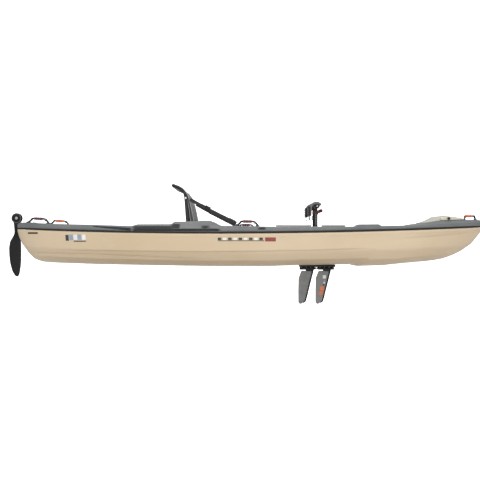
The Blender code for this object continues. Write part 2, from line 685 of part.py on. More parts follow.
def make_cranks():
    for name, side in (("port", 1), ("starboard", -1)):
        direction = (0, side, 0)
        bore = AXLE_R + 0.0004
        drum = [(bore, 0.0322), (0.0104, 0.0322), (0.0104, 0.0220), (0.0165, 0.0220), (0.0145, 0.0190),
                (0.0145, 0.0150), (0.0165, 0.0120), (bore, 0.0120)]
        turned(f"crank_drum_{name}", drum, (AXLE_X, 0, AXLE_Z), direction, "steel")

        half = 0.0115
        outline = arc((AXLE_X, AXLE_Z), 0.020, 145, 395, 13)
        outline += [(AXLE_X + half, AXLE_Z + 0.030), (AXLE_X + half, 0.392)]
        outline += arc((SPINDLE_X, SPINDLE_Z), half, 0, 180, 7)
        outline += [(AXLE_X - half, 0.390), (AXLE_X - half, AXLE_Z + 0.030)]
        low, high = sorted((side * 0.0328, side * 0.0455))
        arm = as_mesh(outline_plate(f"crank_arm_{name}", [outline], low, high, "black_plastic"))
        bevel(arm, 0.0015)
        cut(arm, rod(f"arm_bore_{name}", (AXLE_X, 0, AXLE_Z), (AXLE_X, side * 0.07, AXLE_Z), bore, "rubber"))
        spindle_root = (SPINDLE_X, side * 0.040, SPINDLE_Z)
        spindle_end = (SPINDLE_X, side * 0.150, SPINDLE_Z)
        join(arm, rod(f"arm_spindle_{name}", spindle_root, spindle_end, 0.005, "rubber", sides=14))
        pivot(arm, (AXLE_X, side * 0.040, AXLE_Z))

        low, high = sorted((side * 0.052, side * 0.147))
        shape = [
            (0.375, 0.338), (0.383, 0.333), (0.391, 0.337), (0.393, 0.392), (0.402, 0.407), (0.416, 0.412),
            (0.432, 0.411), (0.447, 0.404), (0.450, 0.413), (0.441, 0.424), (0.424, 0.430), (0.404, 0.428),
            (0.388, 0.418), (0.377, 0.402), (0.373, 0.370),
        ]
        pedal = as_mesh(outline_plate(f"pedal_{name}", [shape], low, high, "fin_plastic"))
        bevel(pedal, 0.0015)
        hub_inner = (SPINDLE_X, side * 0.054, SPINDLE_Z)
        hub_outer = (SPINDLE_X, side * 0.145, SPINDLE_Z)
        join(pedal, rod(f"pedal_hub_{name}", hub_inner, hub_outer, 0.0155, "rubber", sides=18))
        bore_inner = (SPINDLE_X, side * 0.03, SPINDLE_Z)
        bore_outer = (SPINDLE_X, side * 0.18, SPINDLE_Z)
        cut(pedal, rod(f"pedal_bore_{name}", bore_inner, bore_outer, 0.0054, "rubber"))
        pivot(pedal, (SPINDLE_X, side * 0.10, SPINDLE_Z))

        slant = math.radians(30)
        knob = [(0.0, 0.036), (0.009, 0.034), (0.012, 0.026), (0.0085, 0.014), (0.007, 0.006), (0.0045, 0.0),
                (0.0, 0.0)]
        turned(f"arm_adjuster_{name}", knob, (0.4411, side * 0.0392, 0.3620),
               (math.cos(slant), 0, math.sin(slant)), "grip_maroon", sides=16)


def make_fins():
    for name, shift in (("rear", 0.0), ("front", FRONT_FIN_SHIFT)):
        hub_aft = 0.3295 if name == "rear" else 0.4475
        hub_fore = 0.4240 if name == "rear" else 0.5460
        lead = [(0.4130 + shift, 0, -0.020), (0.4100 + shift, 0, -0.042), (0.3625 + shift, 0, -0.234),
                (0.3560 + shift, 0, -0.247), (0.3440 + shift, 0, -0.2565)]
        mast = as_mesh(tube(f"fin_mast_{name}", lead, 0.0058, "black_plastic"))
        hub = rod(f"hub_{name}", (hub_aft, 0, FIN_AXIS_Z), (hub_fore, 0, FIN_AXIS_Z), 0.0102, "rubber", sides=20)
        join(mast, hub)
        sprocket_aft, sprocket_fore = (0.4235, 0.4330) if name == "rear" else (0.4385, 0.4480)
        join(mast, rod(f"sprocket_{name}", (sprocket_aft, 0, FIN_AXIS_Z), (sprocket_fore, 0, FIN_AXIS_Z),
                       0.0068, "rubber"))
        cut(mast, rod(f"hub_bore_{name}", (0.30, 0, FIN_AXIS_Z), (0.60, 0, FIN_AXIS_Z), 0.0033, "rubber"))
        pivot(mast, (0.436, 0, FIN_AXIS_Z))

        blade = [(0.334, -0.036), (0.3125, -0.087), (0.3120, -0.256), (0.320, -0.2635), (0.332, -0.2640),
                 (0.3365, -0.2545), (0.3470, -0.2445), (0.3545, -0.2310), (0.4030, -0.0420), (0.4040, -0.036)]
        outline = [(x + shift, z) for x, z in blade]
        panel = as_mesh(outline_plate(f"fin_blade_{name}", [outline], -0.0038, 0.0038, "fin_plastic"))
        bevel(panel, 0.0012)
        pivot(panel, (0.436, 0, FIN_AXIS_Z))


# Seat

def make_seat():
    base_z = SEAT_FLOOR + SEAT_TUBE_R + 0.0006
    corners = [(-0.445, -SEAT_HALF), (-0.045, -SEAT_HALF), (-0.045, SEAT_HALF), (-0.445, SEAT_HALF)]
    loop = [(x, y, base_z) for x, y in rounded_outline(corners, 0.05, steps=5)]
    frame = as_mesh(tube("seat_base_frame", loop, SEAT_TUBE_R, "black_plastic", closed=True))
    for name, side in (("port", 1), ("starboard", -1)):
        low, high = sorted((side * 0.2462, side * 0.2502))
        shape = [(-0.438, 0.139), (-0.380, 0.139)] + arc((SEAT_HINGE.x, SEAT_HINGE.z), 0.014, 0, 180, 7)
        lug = as_mesh(outline_plate(f"seat_lug_{name}", [shape], low, high, "rubber"))
        join(frame, lug)
        rib_low, rib_high = sorted((side * SEAT_HALF, side * 0.248))
        foot_low = (-0.425, rib_low, base_z - 0.006)
        foot_high = (-0.385, rib_high, base_z + 0.006)
        join(frame, box(f"seat_lug_foot_{name}", foot_low, foot_high, "rubber"))

    cushion = box("seat_cushion", (-0.400, -0.210, 0.160), (-0.060, 0.210, 0.188), "seat_fabric")
    bevel(cushion, 0.010, 2)

    rail = [(-0.4240, 0.262), (-0.4290, 0.298), (-0.4350, 0.380), (-0.4395, 0.440), (-0.4470, 0.475),
            (-0.4630, 0.500), (-0.4880, 0.517), (-0.5170, 0.529)]
    starboard = [(x, -SEAT_HALF + 0.035 * max(0.0, (z - 0.44) / 0.09), z) for x, z in rail]
    bar = [(-0.5260, -0.180, 0.5325), (-0.5290, -0.150, 0.5335)]
    half = starboard + bar
    points = half + [(x, -y, z) for x, y, z in half[::-1]]
    back = tube("seat_back_frame", points, SEAT_TUBE_R, "black_plastic")
    pivot(back, SEAT_HINGE)

    front = [(-0.384, 0.287), (-0.388, 0.300), (-0.403, 0.375), (-0.419, 0.438), (-0.432, 0.466)]
    rear = [(-0.4520, 0.4660), (-0.4430, 0.4380), (-0.4370, 0.3750), (-0.4300, 0.3000), (-0.4280, 0.2870)]
    pad = as_mesh(outline_plate("seat_back_pad", [front + rear], -0.209, 0.209, "seat_fabric"))
    bevel(pad, 0.006)
    pivot(pad, SEAT_HINGE)


def strap_frame(side):
    """The strap's line from the seat back down to the deck, with its own length and slope."""
    start = Vector((-0.410, side * 0.2570, 0.436))
    end = Vector((-0.112, side * 0.3560, 0.2795))
    along = (end - start).normalized()
    out = (Vector((0, side, 0)) - along * along.y * side).normalized()
    up = along.cross(out) if side < 0 else out.cross(along)
    return start, end, along, out, up


def slanted_box(name, centre, along, out, up, size, finish_name):
    """A block turned to lie along a strap: size is its length, thickness and width."""
    bm = bmesh.new()
    bmesh.ops.create_cube(bm, size=1.0)
    bmesh.ops.scale(bm, vec=size, verts=bm.verts)
    turn = Matrix((along, out, up)).transposed().to_4x4()
    bmesh.ops.transform(bm, matrix=Matrix.Translation(centre) @ turn, verts=bm.verts)
    bmesh.ops.recalc_face_normals(bm, faces=bm.faces)
    return place(name, mesh_of(name, bm), finish_name)


def make_recline_straps():
    for name, side in (("port", 1), ("starboard", -1)):
        start, end, along, out, up = strap_frame(side)
        length = (end - start).length
        middle = (start + end) / 2
        slanted_box(f"recline_strap_{name}", middle, along, out, up, (length, 0.003, 0.027), "webbing")
        at = start + along * (0.38 * length)
        buckle = slanted_box(f"strap_buckle_{name}", at, along, out, up, (0.038, 0.0095, 0.034), "black_plastic")
        cut(buckle, slanted_box(f"buckle_slot_{name}", at, along, out, up, (0.06, 0.0038, 0.0278), "rubber"))
        anchor_y = side * 0.3660
        low, high = sorted((anchor_y - 0.012, anchor_y + 0.012))
        box(f"strap_anchor_{name}", (-0.128, low, 0.2640), (-0.088, high, 0.2675), "black_plastic", edge=0.001)

    start, end, along, out, up = strap_frame(-1)
    at = start + along * (0.50 * (end - start).length)
    foot = at - up * (0.0150 if up.z > 0 else -0.0150)
    drop = [(foot.x - 0.0010 * step, foot.y - 0.0004 * step, foot.z - 0.0055 * step) for step in range(9)]
    tube("buckle_cord_starboard", drop, 0.0011, "webbing")


make_hull()
make_deck()
make_seam_trim()
make_well_liner()
make_gear_tracks()
make_bow()
make_handles()
make_rudder()
make_steering()
make_drive_body()
make_cranks()
make_fins()
make_seat()
make_recline_straps()
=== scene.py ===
# %% [markdown]
# # A pedal-drive sit-on-top boat
# The boat is a small one-person hull moulded in two halves, with a folding seat, two swinging
# pedals, two fins that flap under the hull and a rudder at the stern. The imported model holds
# every part's size and motion. This lesson gives each part its finished surface.

import itertools
import math

import bpy
import numpy as np
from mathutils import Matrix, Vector


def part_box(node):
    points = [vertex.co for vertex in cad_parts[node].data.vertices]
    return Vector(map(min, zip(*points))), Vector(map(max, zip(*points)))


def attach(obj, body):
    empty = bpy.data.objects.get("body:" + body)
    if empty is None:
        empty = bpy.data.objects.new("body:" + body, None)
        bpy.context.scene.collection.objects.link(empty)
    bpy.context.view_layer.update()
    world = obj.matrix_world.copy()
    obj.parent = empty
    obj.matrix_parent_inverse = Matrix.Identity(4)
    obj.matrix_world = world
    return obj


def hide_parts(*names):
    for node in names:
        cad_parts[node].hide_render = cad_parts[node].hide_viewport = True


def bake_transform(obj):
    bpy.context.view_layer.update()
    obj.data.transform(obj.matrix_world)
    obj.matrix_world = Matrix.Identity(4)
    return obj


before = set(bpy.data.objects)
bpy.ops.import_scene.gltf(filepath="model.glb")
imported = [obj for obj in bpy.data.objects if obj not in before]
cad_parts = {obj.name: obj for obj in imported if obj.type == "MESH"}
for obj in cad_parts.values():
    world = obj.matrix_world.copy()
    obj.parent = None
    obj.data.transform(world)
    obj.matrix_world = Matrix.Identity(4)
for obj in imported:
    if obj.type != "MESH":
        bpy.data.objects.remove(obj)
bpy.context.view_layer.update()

# %% [markdown]
# ## Camera, floor and light
# A boat's lines are read from the side, so the camera looks square at it from starboard, level
# with the middle of the hull. A long backdrop bends up behind the boat, so that no horizon
# line crosses it, and four wide soft lamps leave only gentle shadows.

# %% Camera
LENS = 43.6
EYE = (-0.089, -4.0, 0.175)
camera = bpy.data.objects.new("camera", bpy.data.cameras.new("camera"))
bpy.context.scene.collection.objects.link(camera)
camera.data.lens = LENS
camera.location = EYE
camera.rotation_euler = (math.radians(90), 0.0, 0.0)
bpy.context.scene.camera = camera

# %% Mesh from arrays
COLLECTION = bpy.data.collections.new("finished")
bpy.context.scene.collection.children.link(COLLECTION)


def mesh_piece(name, points, faces, smooth_angle=40.0):
    """An object from an array of points and a list of faces, shaded smooth but for sharp edges."""
    mesh = bpy.data.meshes.new(name)
    mesh.from_pydata(np.asarray(points, float).reshape(-1, 3), [], faces)
    mesh.validate()
    mesh.shade_smooth()
    mesh.set_sharp_from_angle(angle=math.radians(smooth_angle))
    piece = bpy.data.objects.new(name, mesh)
    COLLECTION.objects.link(piece)
    return piece


def quads(rows, columns, around=False, along=False):
    """Corner numbers of the quads of a grid, closed around its columns or along its rows."""
    row = np.arange(rows if along else rows - 1)[:, None]
    column = np.arange(columns if around else columns - 1)[None, :]
    next_row = (row + 1) % rows
    next_column = (column + 1) % columns
    corners = (row * columns + column, row * columns + next_column,
               next_row * columns + next_column, next_row * columns + column)
    return np.stack(np.broadcast_arrays(*corners), axis=-1).reshape(-1, 4)


def outward(points, faces):
    """The faces turned outwards: the sum of first . (corner x next corner) over every edge of
    every face is six times the volume, and must be positive."""
    points = np.asarray(points, float).reshape(-1, 3)
    counts = np.array([len(face) for face in faces])
    corners = np.fromiter(itertools.chain.from_iterable(faces), int)
    starts = np.cumsum(counts) - counts
    following = np.arange(1, len(corners) + 1)
    following[starts + counts - 1] = starts
    first = points[np.repeat(corners[starts], counts)]
    total = (first * np.cross(points[corners], points[corners[following]])).sum()
    return faces if total > 0 else [tuple(face[::-1]) for face in faces]


def lay_uv(piece, grid, around, along):
    """A UV map in metres: u is the mean length along the rows, v the mean length round them."""
    rows, columns = grid.shape[:2]
    wrapped = np.concatenate([grid, grid[:1]]) if along else grid
    steps = np.linalg.norm(np.diff(wrapped, axis=0), axis=2).mean(axis=1)
    u_at = np.concatenate([[0.0], np.cumsum(steps)])
    wrapped = np.concatenate([grid, grid[:, :1]], axis=1) if around else grid
    steps = np.linalg.norm(np.diff(wrapped, axis=1), axis=2).mean(axis=0)
    v_at = np.concatenate([[0.0], np.cumsum(steps)])
    mesh = piece.data
    layer = mesh.uv_layers.new(name="UVMap")
    loops = np.empty(len(mesh.loops), np.int32)
    mesh.loops.foreach_get("vertex_index", loops)
    starts = np.empty(len(mesh.polygons), np.int32)
    totals = np.empty(len(mesh.polygons), np.int32)
    mesh.polygons.foreach_get("loop_start", starts)
    mesh.polygons.foreach_get("loop_total", totals)
    inside = loops < rows * columns
    row = np.where(inside, loops // columns, 0)
    column = np.where(inside, loops % columns, 0)
    face_of = np.repeat(np.arange(len(starts)), totals)
    for index, limit, closed in ((row, rows, along), (column, columns, around)):
        if closed:
            highest = np.zeros(len(starts), np.int64)
            np.maximum.at(highest, face_of, index)
            lowest = np.full(len(starts), limit, np.int64)
            np.minimum.at(lowest, face_of, index)
            split = (highest[face_of] == limit - 1) & (lowest[face_of] == 0) & (index == 0)
            index[split & (limit > 2)] = limit
    uv = np.stack([u_at[np.minimum(row, len(u_at) - 1)], v_at[np.minimum(column, len(v_at) - 1)]], axis=1)
    layer.data.foreach_set("uv", uv.astype(np.float32).ravel())
    return piece


def surface(name, grid, around=True, along=False, capped=True, smooth_angle=40.0):
    """A closed surface over a grid of points, rows along it and columns round it.

    The open ends of a surface that closes round get a fan of triangles to their middle.
    """
    rows, columns = grid.shape[:2]
    points = grid.reshape(-1, 3)
    faces = [tuple(face) for face in quads(rows, columns, around, along).tolist()]
    if capped and around and not along:
        middles = np.stack([grid[0].mean(axis=0), grid[-1].mean(axis=0)])
        points = np.concatenate([points, middles])
        ring = np.arange(columns)
        after = (ring + 1) % columns
        last = (rows - 1) * columns
        start_hub = rows * columns
        faces += [(b, a, start_hub) for a, b in zip(ring.tolist(), after.tolist())]
        faces += [(last + a, last + b, start_hub + 1) for a, b in zip(ring.tolist(), after.tolist())]
    if around or along:
        faces = outward(points, faces)
    piece = mesh_piece(name, points, faces, smooth_angle)
    return lay_uv(piece, grid, around, along)


def finish_piece(piece, body, material, slot_name, *replaced):
    """Give a piece its material, the body it rides on and the nodes it stands for."""
    piece.data.materials.clear()
    piece.data.materials.append(material)
    if replaced:
        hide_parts(*replaced)
    if body:
        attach(piece, body)
    return piece


# %% Floor, backdrop and lamps
FLOOR_Z = -0.285
BEND = 1.2
turn = np.linspace(0.0, math.pi / 2, 24)
back_y = np.concatenate([[-7.0], 3.0 + BEND * np.sin(turn), [3.0 + BEND]])
back_z = np.concatenate([[0.0], BEND * (1 - np.cos(turn)), [6.0]]) + FLOOR_Z
across = np.array([-9.0, 9.0])
backdrop_grid = np.stack(np.broadcast_arrays(across[None, :], back_y[:, None], back_z[:, None]), axis=-1)
backdrop = surface("backdrop", backdrop_grid[:, ::-1], around=False)
paper = bpy.data.materials.new("paper")
paper.use_nodes = True
paper_shader = paper.node_tree.nodes["Principled BSDF"]
paper_shader.inputs["Base Color"].default_value = (0.75, 0.75, 0.75, 1)
paper_shader.inputs["Roughness"].default_value = 0.9
paper_shader.inputs["Emission Color"].default_value = (1.0, 1.0, 1.0, 1)
seen = paper.node_tree.nodes.new("ShaderNodeLightPath").outputs["Is Camera Ray"]
paper.node_tree.links.new(seen, paper_shader.inputs["Emission Strength"])
backdrop.data.materials.append(paper)


def lamp(name, place, target, size, power):
    """A square soft lamp that faces a point."""
    light = bpy.data.lights.new(name, "AREA")
    light.shape = "SQUARE"
    light.size = size
    light.energy = power
    stand = bpy.data.objects.new(name, light)
    stand.location = place
    stand.rotation_euler = (Vector(target) - Vector(place)).to_track_quat("-Z", "Y").to_euler()
    bpy.context.scene.collection.objects.link(stand)


lamp("key_lamp", (-2.0, -4.0, 3.6), (0.0, 0.0, 0.15), 3.0, 95.0)
lamp("fill_lamp", (3.5, -3.0, 2.0), (0.3, 0.0, 0.15), 3.0, 46.0)
lamp("top_lamp", (0.0, 1.5, 3.5), (0.0, 0.0, 0.2), 3.0, 74.0)
lamp("low_lamp", (0.0, -4.5, -0.1), (0.0, 0.0, 0.1), 3.0, 74.0)
sky = bpy.data.worlds.new("studio")
sky.use_nodes = True
sky.node_tree.nodes["Background"].inputs["Color"].default_value = (1.0, 1.0, 1.0, 1.0)
sky.node_tree.nodes["Background"].inputs["Strength"].default_value = 0.50
bpy.context.scene.world = sky
bpy.context.scene.view_settings.view_transform = "Standard"
print("camera, floor and lamps are in place")

# %% [markdown]
# ## Finishes
# Most of the boat is thermoformed sheet plastic: a colour that clouds a little, a fine grain
# from the mould, and scuffs where the boat has been dragged. The same three effects return in
# the rubber and in the injection mouldings, so each effect is one node group, placed in each
# material with its own values. Cloth and webbing share a plain weave.

# %% Node groups
def node_group(name, inputs, outputs):
    """An empty shader group with its named sockets."""
    tree = bpy.data.node_groups.new(name, "ShaderNodeTree")
    for label, kind, value in inputs:
        socket = tree.interface.new_socket(label, in_out="INPUT", socket_type=kind)
        if value is not None:
            socket.default_value = value
    for label, kind in outputs:
        tree.interface.new_socket(label, in_out="OUTPUT", socket_type=kind)
    return tree, tree.nodes.new("NodeGroupInput"), tree.nodes.new("NodeGroupOutput")


def math_node(tree, operation, first, second=None, clamp=False):
    """A Math node fed by sockets or by plain numbers; gives its output socket."""
    node = tree.nodes.new("ShaderNodeMath")
    node.operation = operation
    node.use_clamp = clamp
    for socket, value in zip(node.inputs, (first, second)):
        if value is None:
            continue
        if isinstance(value, (int, float)):
            socket.default_value = value
        else:
            tree.links.new(value, socket)
    return node.outputs[0]


def noise(tree, vector, scale, detail=3.0, roughness=0.55):
    """A noise read at a vector; its scale may be a number or a socket."""
    node = tree.nodes.new("ShaderNodeTexNoise")
    tree.links.new(vector, node.inputs["Vector"])
    if isinstance(scale, (int, float)):
        node.inputs["Scale"].default_value = scale
    else:
        tree.links.new(scale, node.inputs["Scale"])
    node.inputs["Detail"].default_value = detail
    node.inputs["Roughness"].default_value = roughness
    return node.outputs["Fac"]


def build_grain_group():
    """Clouding and mould grain: two noises, one broad for colour and one fine for height."""
    tree, given, result = node_group(
        "moulded_grain",
        [("Vector", "NodeSocketVector", None), ("Cloud scale", "NodeSocketFloat", 4.0),
         ("Grain scale", "NodeSocketFloat", 500.0)],
        [("Cloud", "NodeSocketFloat"), ("Grain", "NodeSocketFloat")],
    )
    cloud = noise(tree, given.outputs["Vector"], given.outputs["Cloud scale"], 4.0)
    spread = math_node(tree, "MULTIPLY_ADD", cloud, 2.4, clamp=True)
    spread.node.inputs[2].default_value = -0.7
    grain = noise(tree, given.outputs["Vector"], given.outputs["Grain scale"], 2.0)
    tree.links.new(spread, result.inputs["Cloud"])
    tree.links.new(grain, result.inputs["Grain"])
    return tree


def build_scuff_group():
    """Scuffs: a noise stretched along the boat, kept only where it peaks."""
    tree, given, result = node_group(
        "scuffs",
        [("Vector", "NodeSocketVector", None), ("Amount", "NodeSocketFloat", 0.3)],
        [("Mask", "NodeSocketFloat")],
    )
    stretch = tree.nodes.new("ShaderNodeMapping")
    stretch.inputs["Scale"].default_value = (3.0, 60.0, 90.0)
    tree.links.new(given.outputs["Vector"], stretch.inputs["Vector"])
    streaks = noise(tree, stretch.outputs["Vector"], 3.0, 5.0, 0.7)
    patches = noise(tree, given.outputs["Vector"], 5.0, 2.0)
    peak = math_node(tree, "MULTIPLY", streaks, patches)
    above = math_node(tree, "SUBTRACT", peak, 0.33)
    strong = math_node(tree, "MULTIPLY", above, 9.0, clamp=True)
    tree.links.new(math_node(tree, "MULTIPLY", strong, given.outputs["Amount"]), result.inputs["Mask"])
    return tree


def build_weave_group():
    """A plain weave: warp and weft are rounded threads, and each crossing shows one of them."""
    tree, given, result = node_group(
        "plain_weave",
        [("Vector", "NodeSocketVector", None), ("Threads", "NodeSocketFloat", 900.0)],
        [("Height", "NodeSocketFloat"), ("Warp", "NodeSocketFloat")],
    )
    split = tree.nodes.new("ShaderNodeSeparateXYZ")
    tree.links.new(given.outputs["Vector"], split.inputs[0])
    waves = []
    for axis in (0, 1):
        turns = math_node(tree, "MULTIPLY", split.outputs[axis], given.outputs["Threads"])
        waves.append(math_node(tree, "SINE", math_node(tree, "MULTIPLY", turns, math.pi)))
    over = math_node(tree, "GREATER_THAN", math_node(tree, "MULTIPLY", waves[0], waves[1]), 0.0)
    warp = math_node(tree, "MULTIPLY", math_node(tree, "ABSOLUTE", waves[0]), over)
    under = math_node(tree, "SUBTRACT", 1.0, over)
    weft = math_node(tree, "MULTIPLY", math_node(tree, "ABSOLUTE", waves[1]), under)
    tree.links.new(math_node(tree, "ADD", warp, weft), result.inputs["Height"])
    tree.links.new(over, result.inputs["Warp"])
    return tree


GRAIN = build_grain_group()
SCUFFS = build_scuff_group()
WEAVE = build_weave_group()


# %% Material makers
def blank(name, roughness, metallic=0.0, coat=0.0):
    """A material, its tree and its shader, with the values that are the same all over."""
    material = bpy.data.materials.new(name)
    material.use_nodes = True
    tree = material.node_tree
    shader = tree.nodes["Principled BSDF"]
    shader.inputs["Roughness"].default_value = roughness
    shader.inputs["Metallic"].default_value = metallic
    shader.inputs["Coat Weight"].default_value = coat
    return material, tree, shader


def place_group(tree, group, vector, **values):
    """A node group placed in a material, with its values by name."""
    node = tree.nodes.new("ShaderNodeGroup")
    node.node_tree = group
    tree.links.new(vector, node.inputs["Vector"])
    for label, value in values.items():
        node.inputs[label.replace("_", " ")].default_value = value
    return node


def blend_colours(tree, factor, first, second):
    """A colour between two, by a mask; a colour may be a tuple or a socket."""
    node = tree.nodes.new("ShaderNodeMix")
    node.data_type = "RGBA"
    tree.links.new(factor, node.inputs["Factor"])
    for label, colour in (("A", first), ("B", second)):
        socket = [item for item in node.inputs if item.name == label and item.type == "RGBA"][0]
        if isinstance(colour, tuple):
            socket.default_value = (*colour, 1.0)
        else:
            tree.links.new(colour, socket)
    return [item for item in node.outputs if item.type == "RGBA"][0]


def blend_values(tree, factor, low, high):
    """A number that runs from low to high as the factor runs from 0 to 1."""
    node = tree.nodes.new("ShaderNodeMapRange")
    tree.links.new(factor, node.inputs["Value"])
    node.inputs["To Min"].default_value = low
    node.inputs["To Max"].default_value = high
    return node.outputs["Result"]


def raise_bump(tree, shader, height, distance, strength=1.0):
    """Let a height tilt the shader's normal; the distance is the full height in metres."""
    node = tree.nodes.new("ShaderNodeBump")
    node.inputs["Distance"].default_value = distance
    node.inputs["Strength"].default_value = strength
    tree.links.new(height, node.inputs["Height"])
    tree.links.new(node.outputs["Normal"], shader.inputs["Normal"])


def moulding(name, dark, light, rough=(0.4, 0.55), cloud=4.0, grain=500.0, depth=0.00012, scuff=0.2,
             scuff_colour=None, metallic=0.0, coat=0.0, inset=None, shine=0.5):
    """Moulded plastic or rubber: clouded colour, grain in the height, paler scuffs, and painted shade in the
    recesses that an inset colour marks.
    """
    material, tree, shader = blank(name, rough[0], metallic, coat)
    shader.inputs["Specular IOR Level"].default_value = shine
    where = tree.nodes.new("ShaderNodeTexCoord").outputs["Object"]
    grains = place_group(tree, GRAIN, where, Cloud_scale=cloud, Grain_scale=grain)
    marks = place_group(tree, SCUFFS, where, Amount=scuff)
    colour = blend_colours(tree, grains.outputs["Cloud"], dark, light)
    pale = scuff_colour or tuple(min(1.0, value * 1.5 + 0.03) for value in light)
    colour = blend_colours(tree, marks.outputs["Mask"], colour, pale)
    # The inset colour is painted shade: recesses marked by the mesh's inset attribute are mixed towards
    # near-black.
    if inset is not None:
        painted_shade_mask = tree.nodes.new("ShaderNodeAttribute")
        painted_shade_mask.attribute_name = "inset"
        colour = blend_colours(tree, painted_shade_mask.outputs["Fac"], colour, inset)
    tree.links.new(colour, shader.inputs["Base Color"])
    tree.links.new(blend_values(tree, grains.outputs["Grain"], *rough), shader.inputs["Roughness"])
    raise_bump(tree, shader, grains.outputs["Grain"], depth, 0.6)
    return material


def cloth(name, dark, light, threads, across=(0.0, 0.0, 0.0), use_uv=False, depth=0.0004, sheen=0.3):
    """Woven cloth: the weave sets the height, and the same height paints shade into the hollows between the
    threads.
    """
    material, tree, shader = blank(name, 0.85)
    source = tree.nodes.new("ShaderNodeTexCoord")
    turn = tree.nodes.new("ShaderNodeMapping")
    turn.inputs["Rotation"].default_value = across
    tree.links.new(source.outputs["UV" if use_uv else "Object"], turn.inputs["Vector"])
    weave = place_group(tree, WEAVE, turn.outputs["Vector"], Threads=threads)
    # The weave's height picks the colour: lighter thread crowns and darker hollows, which is painted shade.
    colour = blend_colours(tree, weave.outputs["Height"], dark, light)
    fuzz = noise(tree, source.outputs["Object"], 9.0, 4.0)
    colour = blend_colours(tree, blend_values(tree, fuzz, 0.0, 0.35), colour, dark)
    tree.links.new(colour, shader.inputs["Base Color"])
    tree.links.new(blend_values(tree, weave.outputs["Height"], 0.95, 0.75), shader.inputs["Roughness"])
    shader.inputs["Sheen Weight"].default_value = sheen
    raise_bump(tree, shader, weave.outputs["Height"], depth, 0.8)
    return material


def turned_metal(name, colour, rough, brushed=260.0):
    """Metal with fine lathe or drawing lines."""
    material, tree, shader = blank(name, rough, 1.0)
    where = tree.nodes.new("ShaderNodeTexCoord").outputs["Object"]
    stretch = tree.nodes.new("ShaderNodeMapping")
    stretch.inputs["Scale"].default_value = (1.0, 6.0, 6.0)
    tree.links.new(where, stretch.inputs["Vector"])
    lines = noise(tree, stretch.outputs["Vector"], brushed, 3.0)
    dark = tuple(value * 0.8 for value in colour)
    tree.links.new(blend_colours(tree, lines, dark, colour), shader.inputs["Base Color"])
    tree.links.new(blend_values(tree, lines, rough * 0.7, rough * 1.4), shader.inputs["Roughness"])
    raise_bump(tree, shader, lines, 0.00003, 0.4)
    return material


# %% The finishes of this boat
SAND = moulding(
    "sand_hull", (0.60, 0.470, 0.310), (0.68, 0.545, 0.380), (0.38, 0.52), 1.6, 700.0, 0.0001, 0.35,
    (0.74, 0.63, 0.47), coat=0.05)
# The deck's inset colour is painted shade, a near-black for the band's recesses.
GREY_DECK = moulding(
    "grey_deck", (0.115, 0.127, 0.130), (0.185, 0.192, 0.190), (0.42, 0.58), 3.2, 420.0, 0.0003, 0.3,
    inset=(0.012, 0.0125, 0.013))
BLACK_RUBBER = moulding(
    "black_rubber", (0.012, 0.012, 0.012), (0.024, 0.024, 0.024), (0.6, 0.8), 12.0, 900.0, 0.0001, 0.15,
    (0.05, 0.05, 0.05), shine=0.3)
BLACK = moulding(
    "black_moulding", (0.006, 0.006, 0.0065), (0.014, 0.014, 0.0145), (0.38, 0.55), 9.0, 1100.0, 0.0001,
    0.3, (0.05, 0.05, 0.05), shine=0.3)
RUDDER_BLACK = moulding("rudder_moulding", (0.007, 0.007, 0.0075), (0.014, 0.014, 0.0145), (0.42, 0.6), 7.0,
                        800.0, 0.00015, 0.3, (0.04, 0.04, 0.04), shine=0.25)
FIN_GREY = moulding(
    "fin_moulding", (0.200, 0.206, 0.212), (0.260, 0.266, 0.272), (0.4, 0.55), 7.0, 900.0, 0.0001, 0.25)
PEDAL_GREY = moulding("pedal_moulding", (0.10, 0.105, 0.11), (0.16, 0.165, 0.17), (0.45, 0.6), 12.0, 900.0,
                      0.00015, 0.4)
MAROON = moulding(
    "maroon_grip", (0.085, 0.020, 0.024), (0.150, 0.034, 0.038), (0.5, 0.7), 20.0, 1200.0, 0.0001, 0.15)
ORANGE = moulding(
    "orange_grip", (0.70, 0.13, 0.055), (0.86, 0.24, 0.10), (0.5, 0.7), 20.0, 1200.0, 0.0001, 0.15)
PALE_BOW = moulding(
    "pale_fairing", (0.42, 0.405, 0.350), (0.50, 0.485, 0.425), (0.4, 0.55), 4.0, 600.0, 0.00012, 0.3)
# The olive is painted shade: it darkens the lid's centre panel where shade lies over the hatch.
OLIVE_SHADE = moulding(
    "olive_painted_shade", (0.36, 0.355, 0.25), (0.44, 0.43, 0.33), (0.45, 0.6), 6.0, 600.0, 0.00015, 0.3)
TRACK = moulding(
    "coated_track", (0.125, 0.13, 0.135), (0.175, 0.18, 0.185), (0.3, 0.42), 10.0, 1500.0, 0.00005, 0.5,
    metallic=0.35)
STEEL = turned_metal("stainless", (0.62, 0.62, 0.63), 0.28)
CHAIN_STEEL = turned_metal("chain_steel", (0.42, 0.41, 0.39), 0.38)
FRAME_COAT = moulding(
    "frame_coat", (0.007, 0.007, 0.007), (0.015, 0.015, 0.015), (0.32, 0.45), 12.0, 1300.0, 0.00008, 0.3,
    (0.05, 0.05, 0.05), shine=0.4)
PAD_GREY = cloth(
    "grey_cloth", (0.065, 0.066, 0.068), (0.130, 0.132, 0.135), 620.0, (0.0, math.radians(90), 0.0))
PAD_BLACK = cloth("black_cloth", (0.012, 0.012, 0.012), (0.034, 0.034, 0.035), 620.0,
                  (0.0, math.radians(90), 0.0))
SEAT_GREY = cloth("seat_cloth", (0.060, 0.061, 0.063), (0.120, 0.122, 0.125), 620.0)
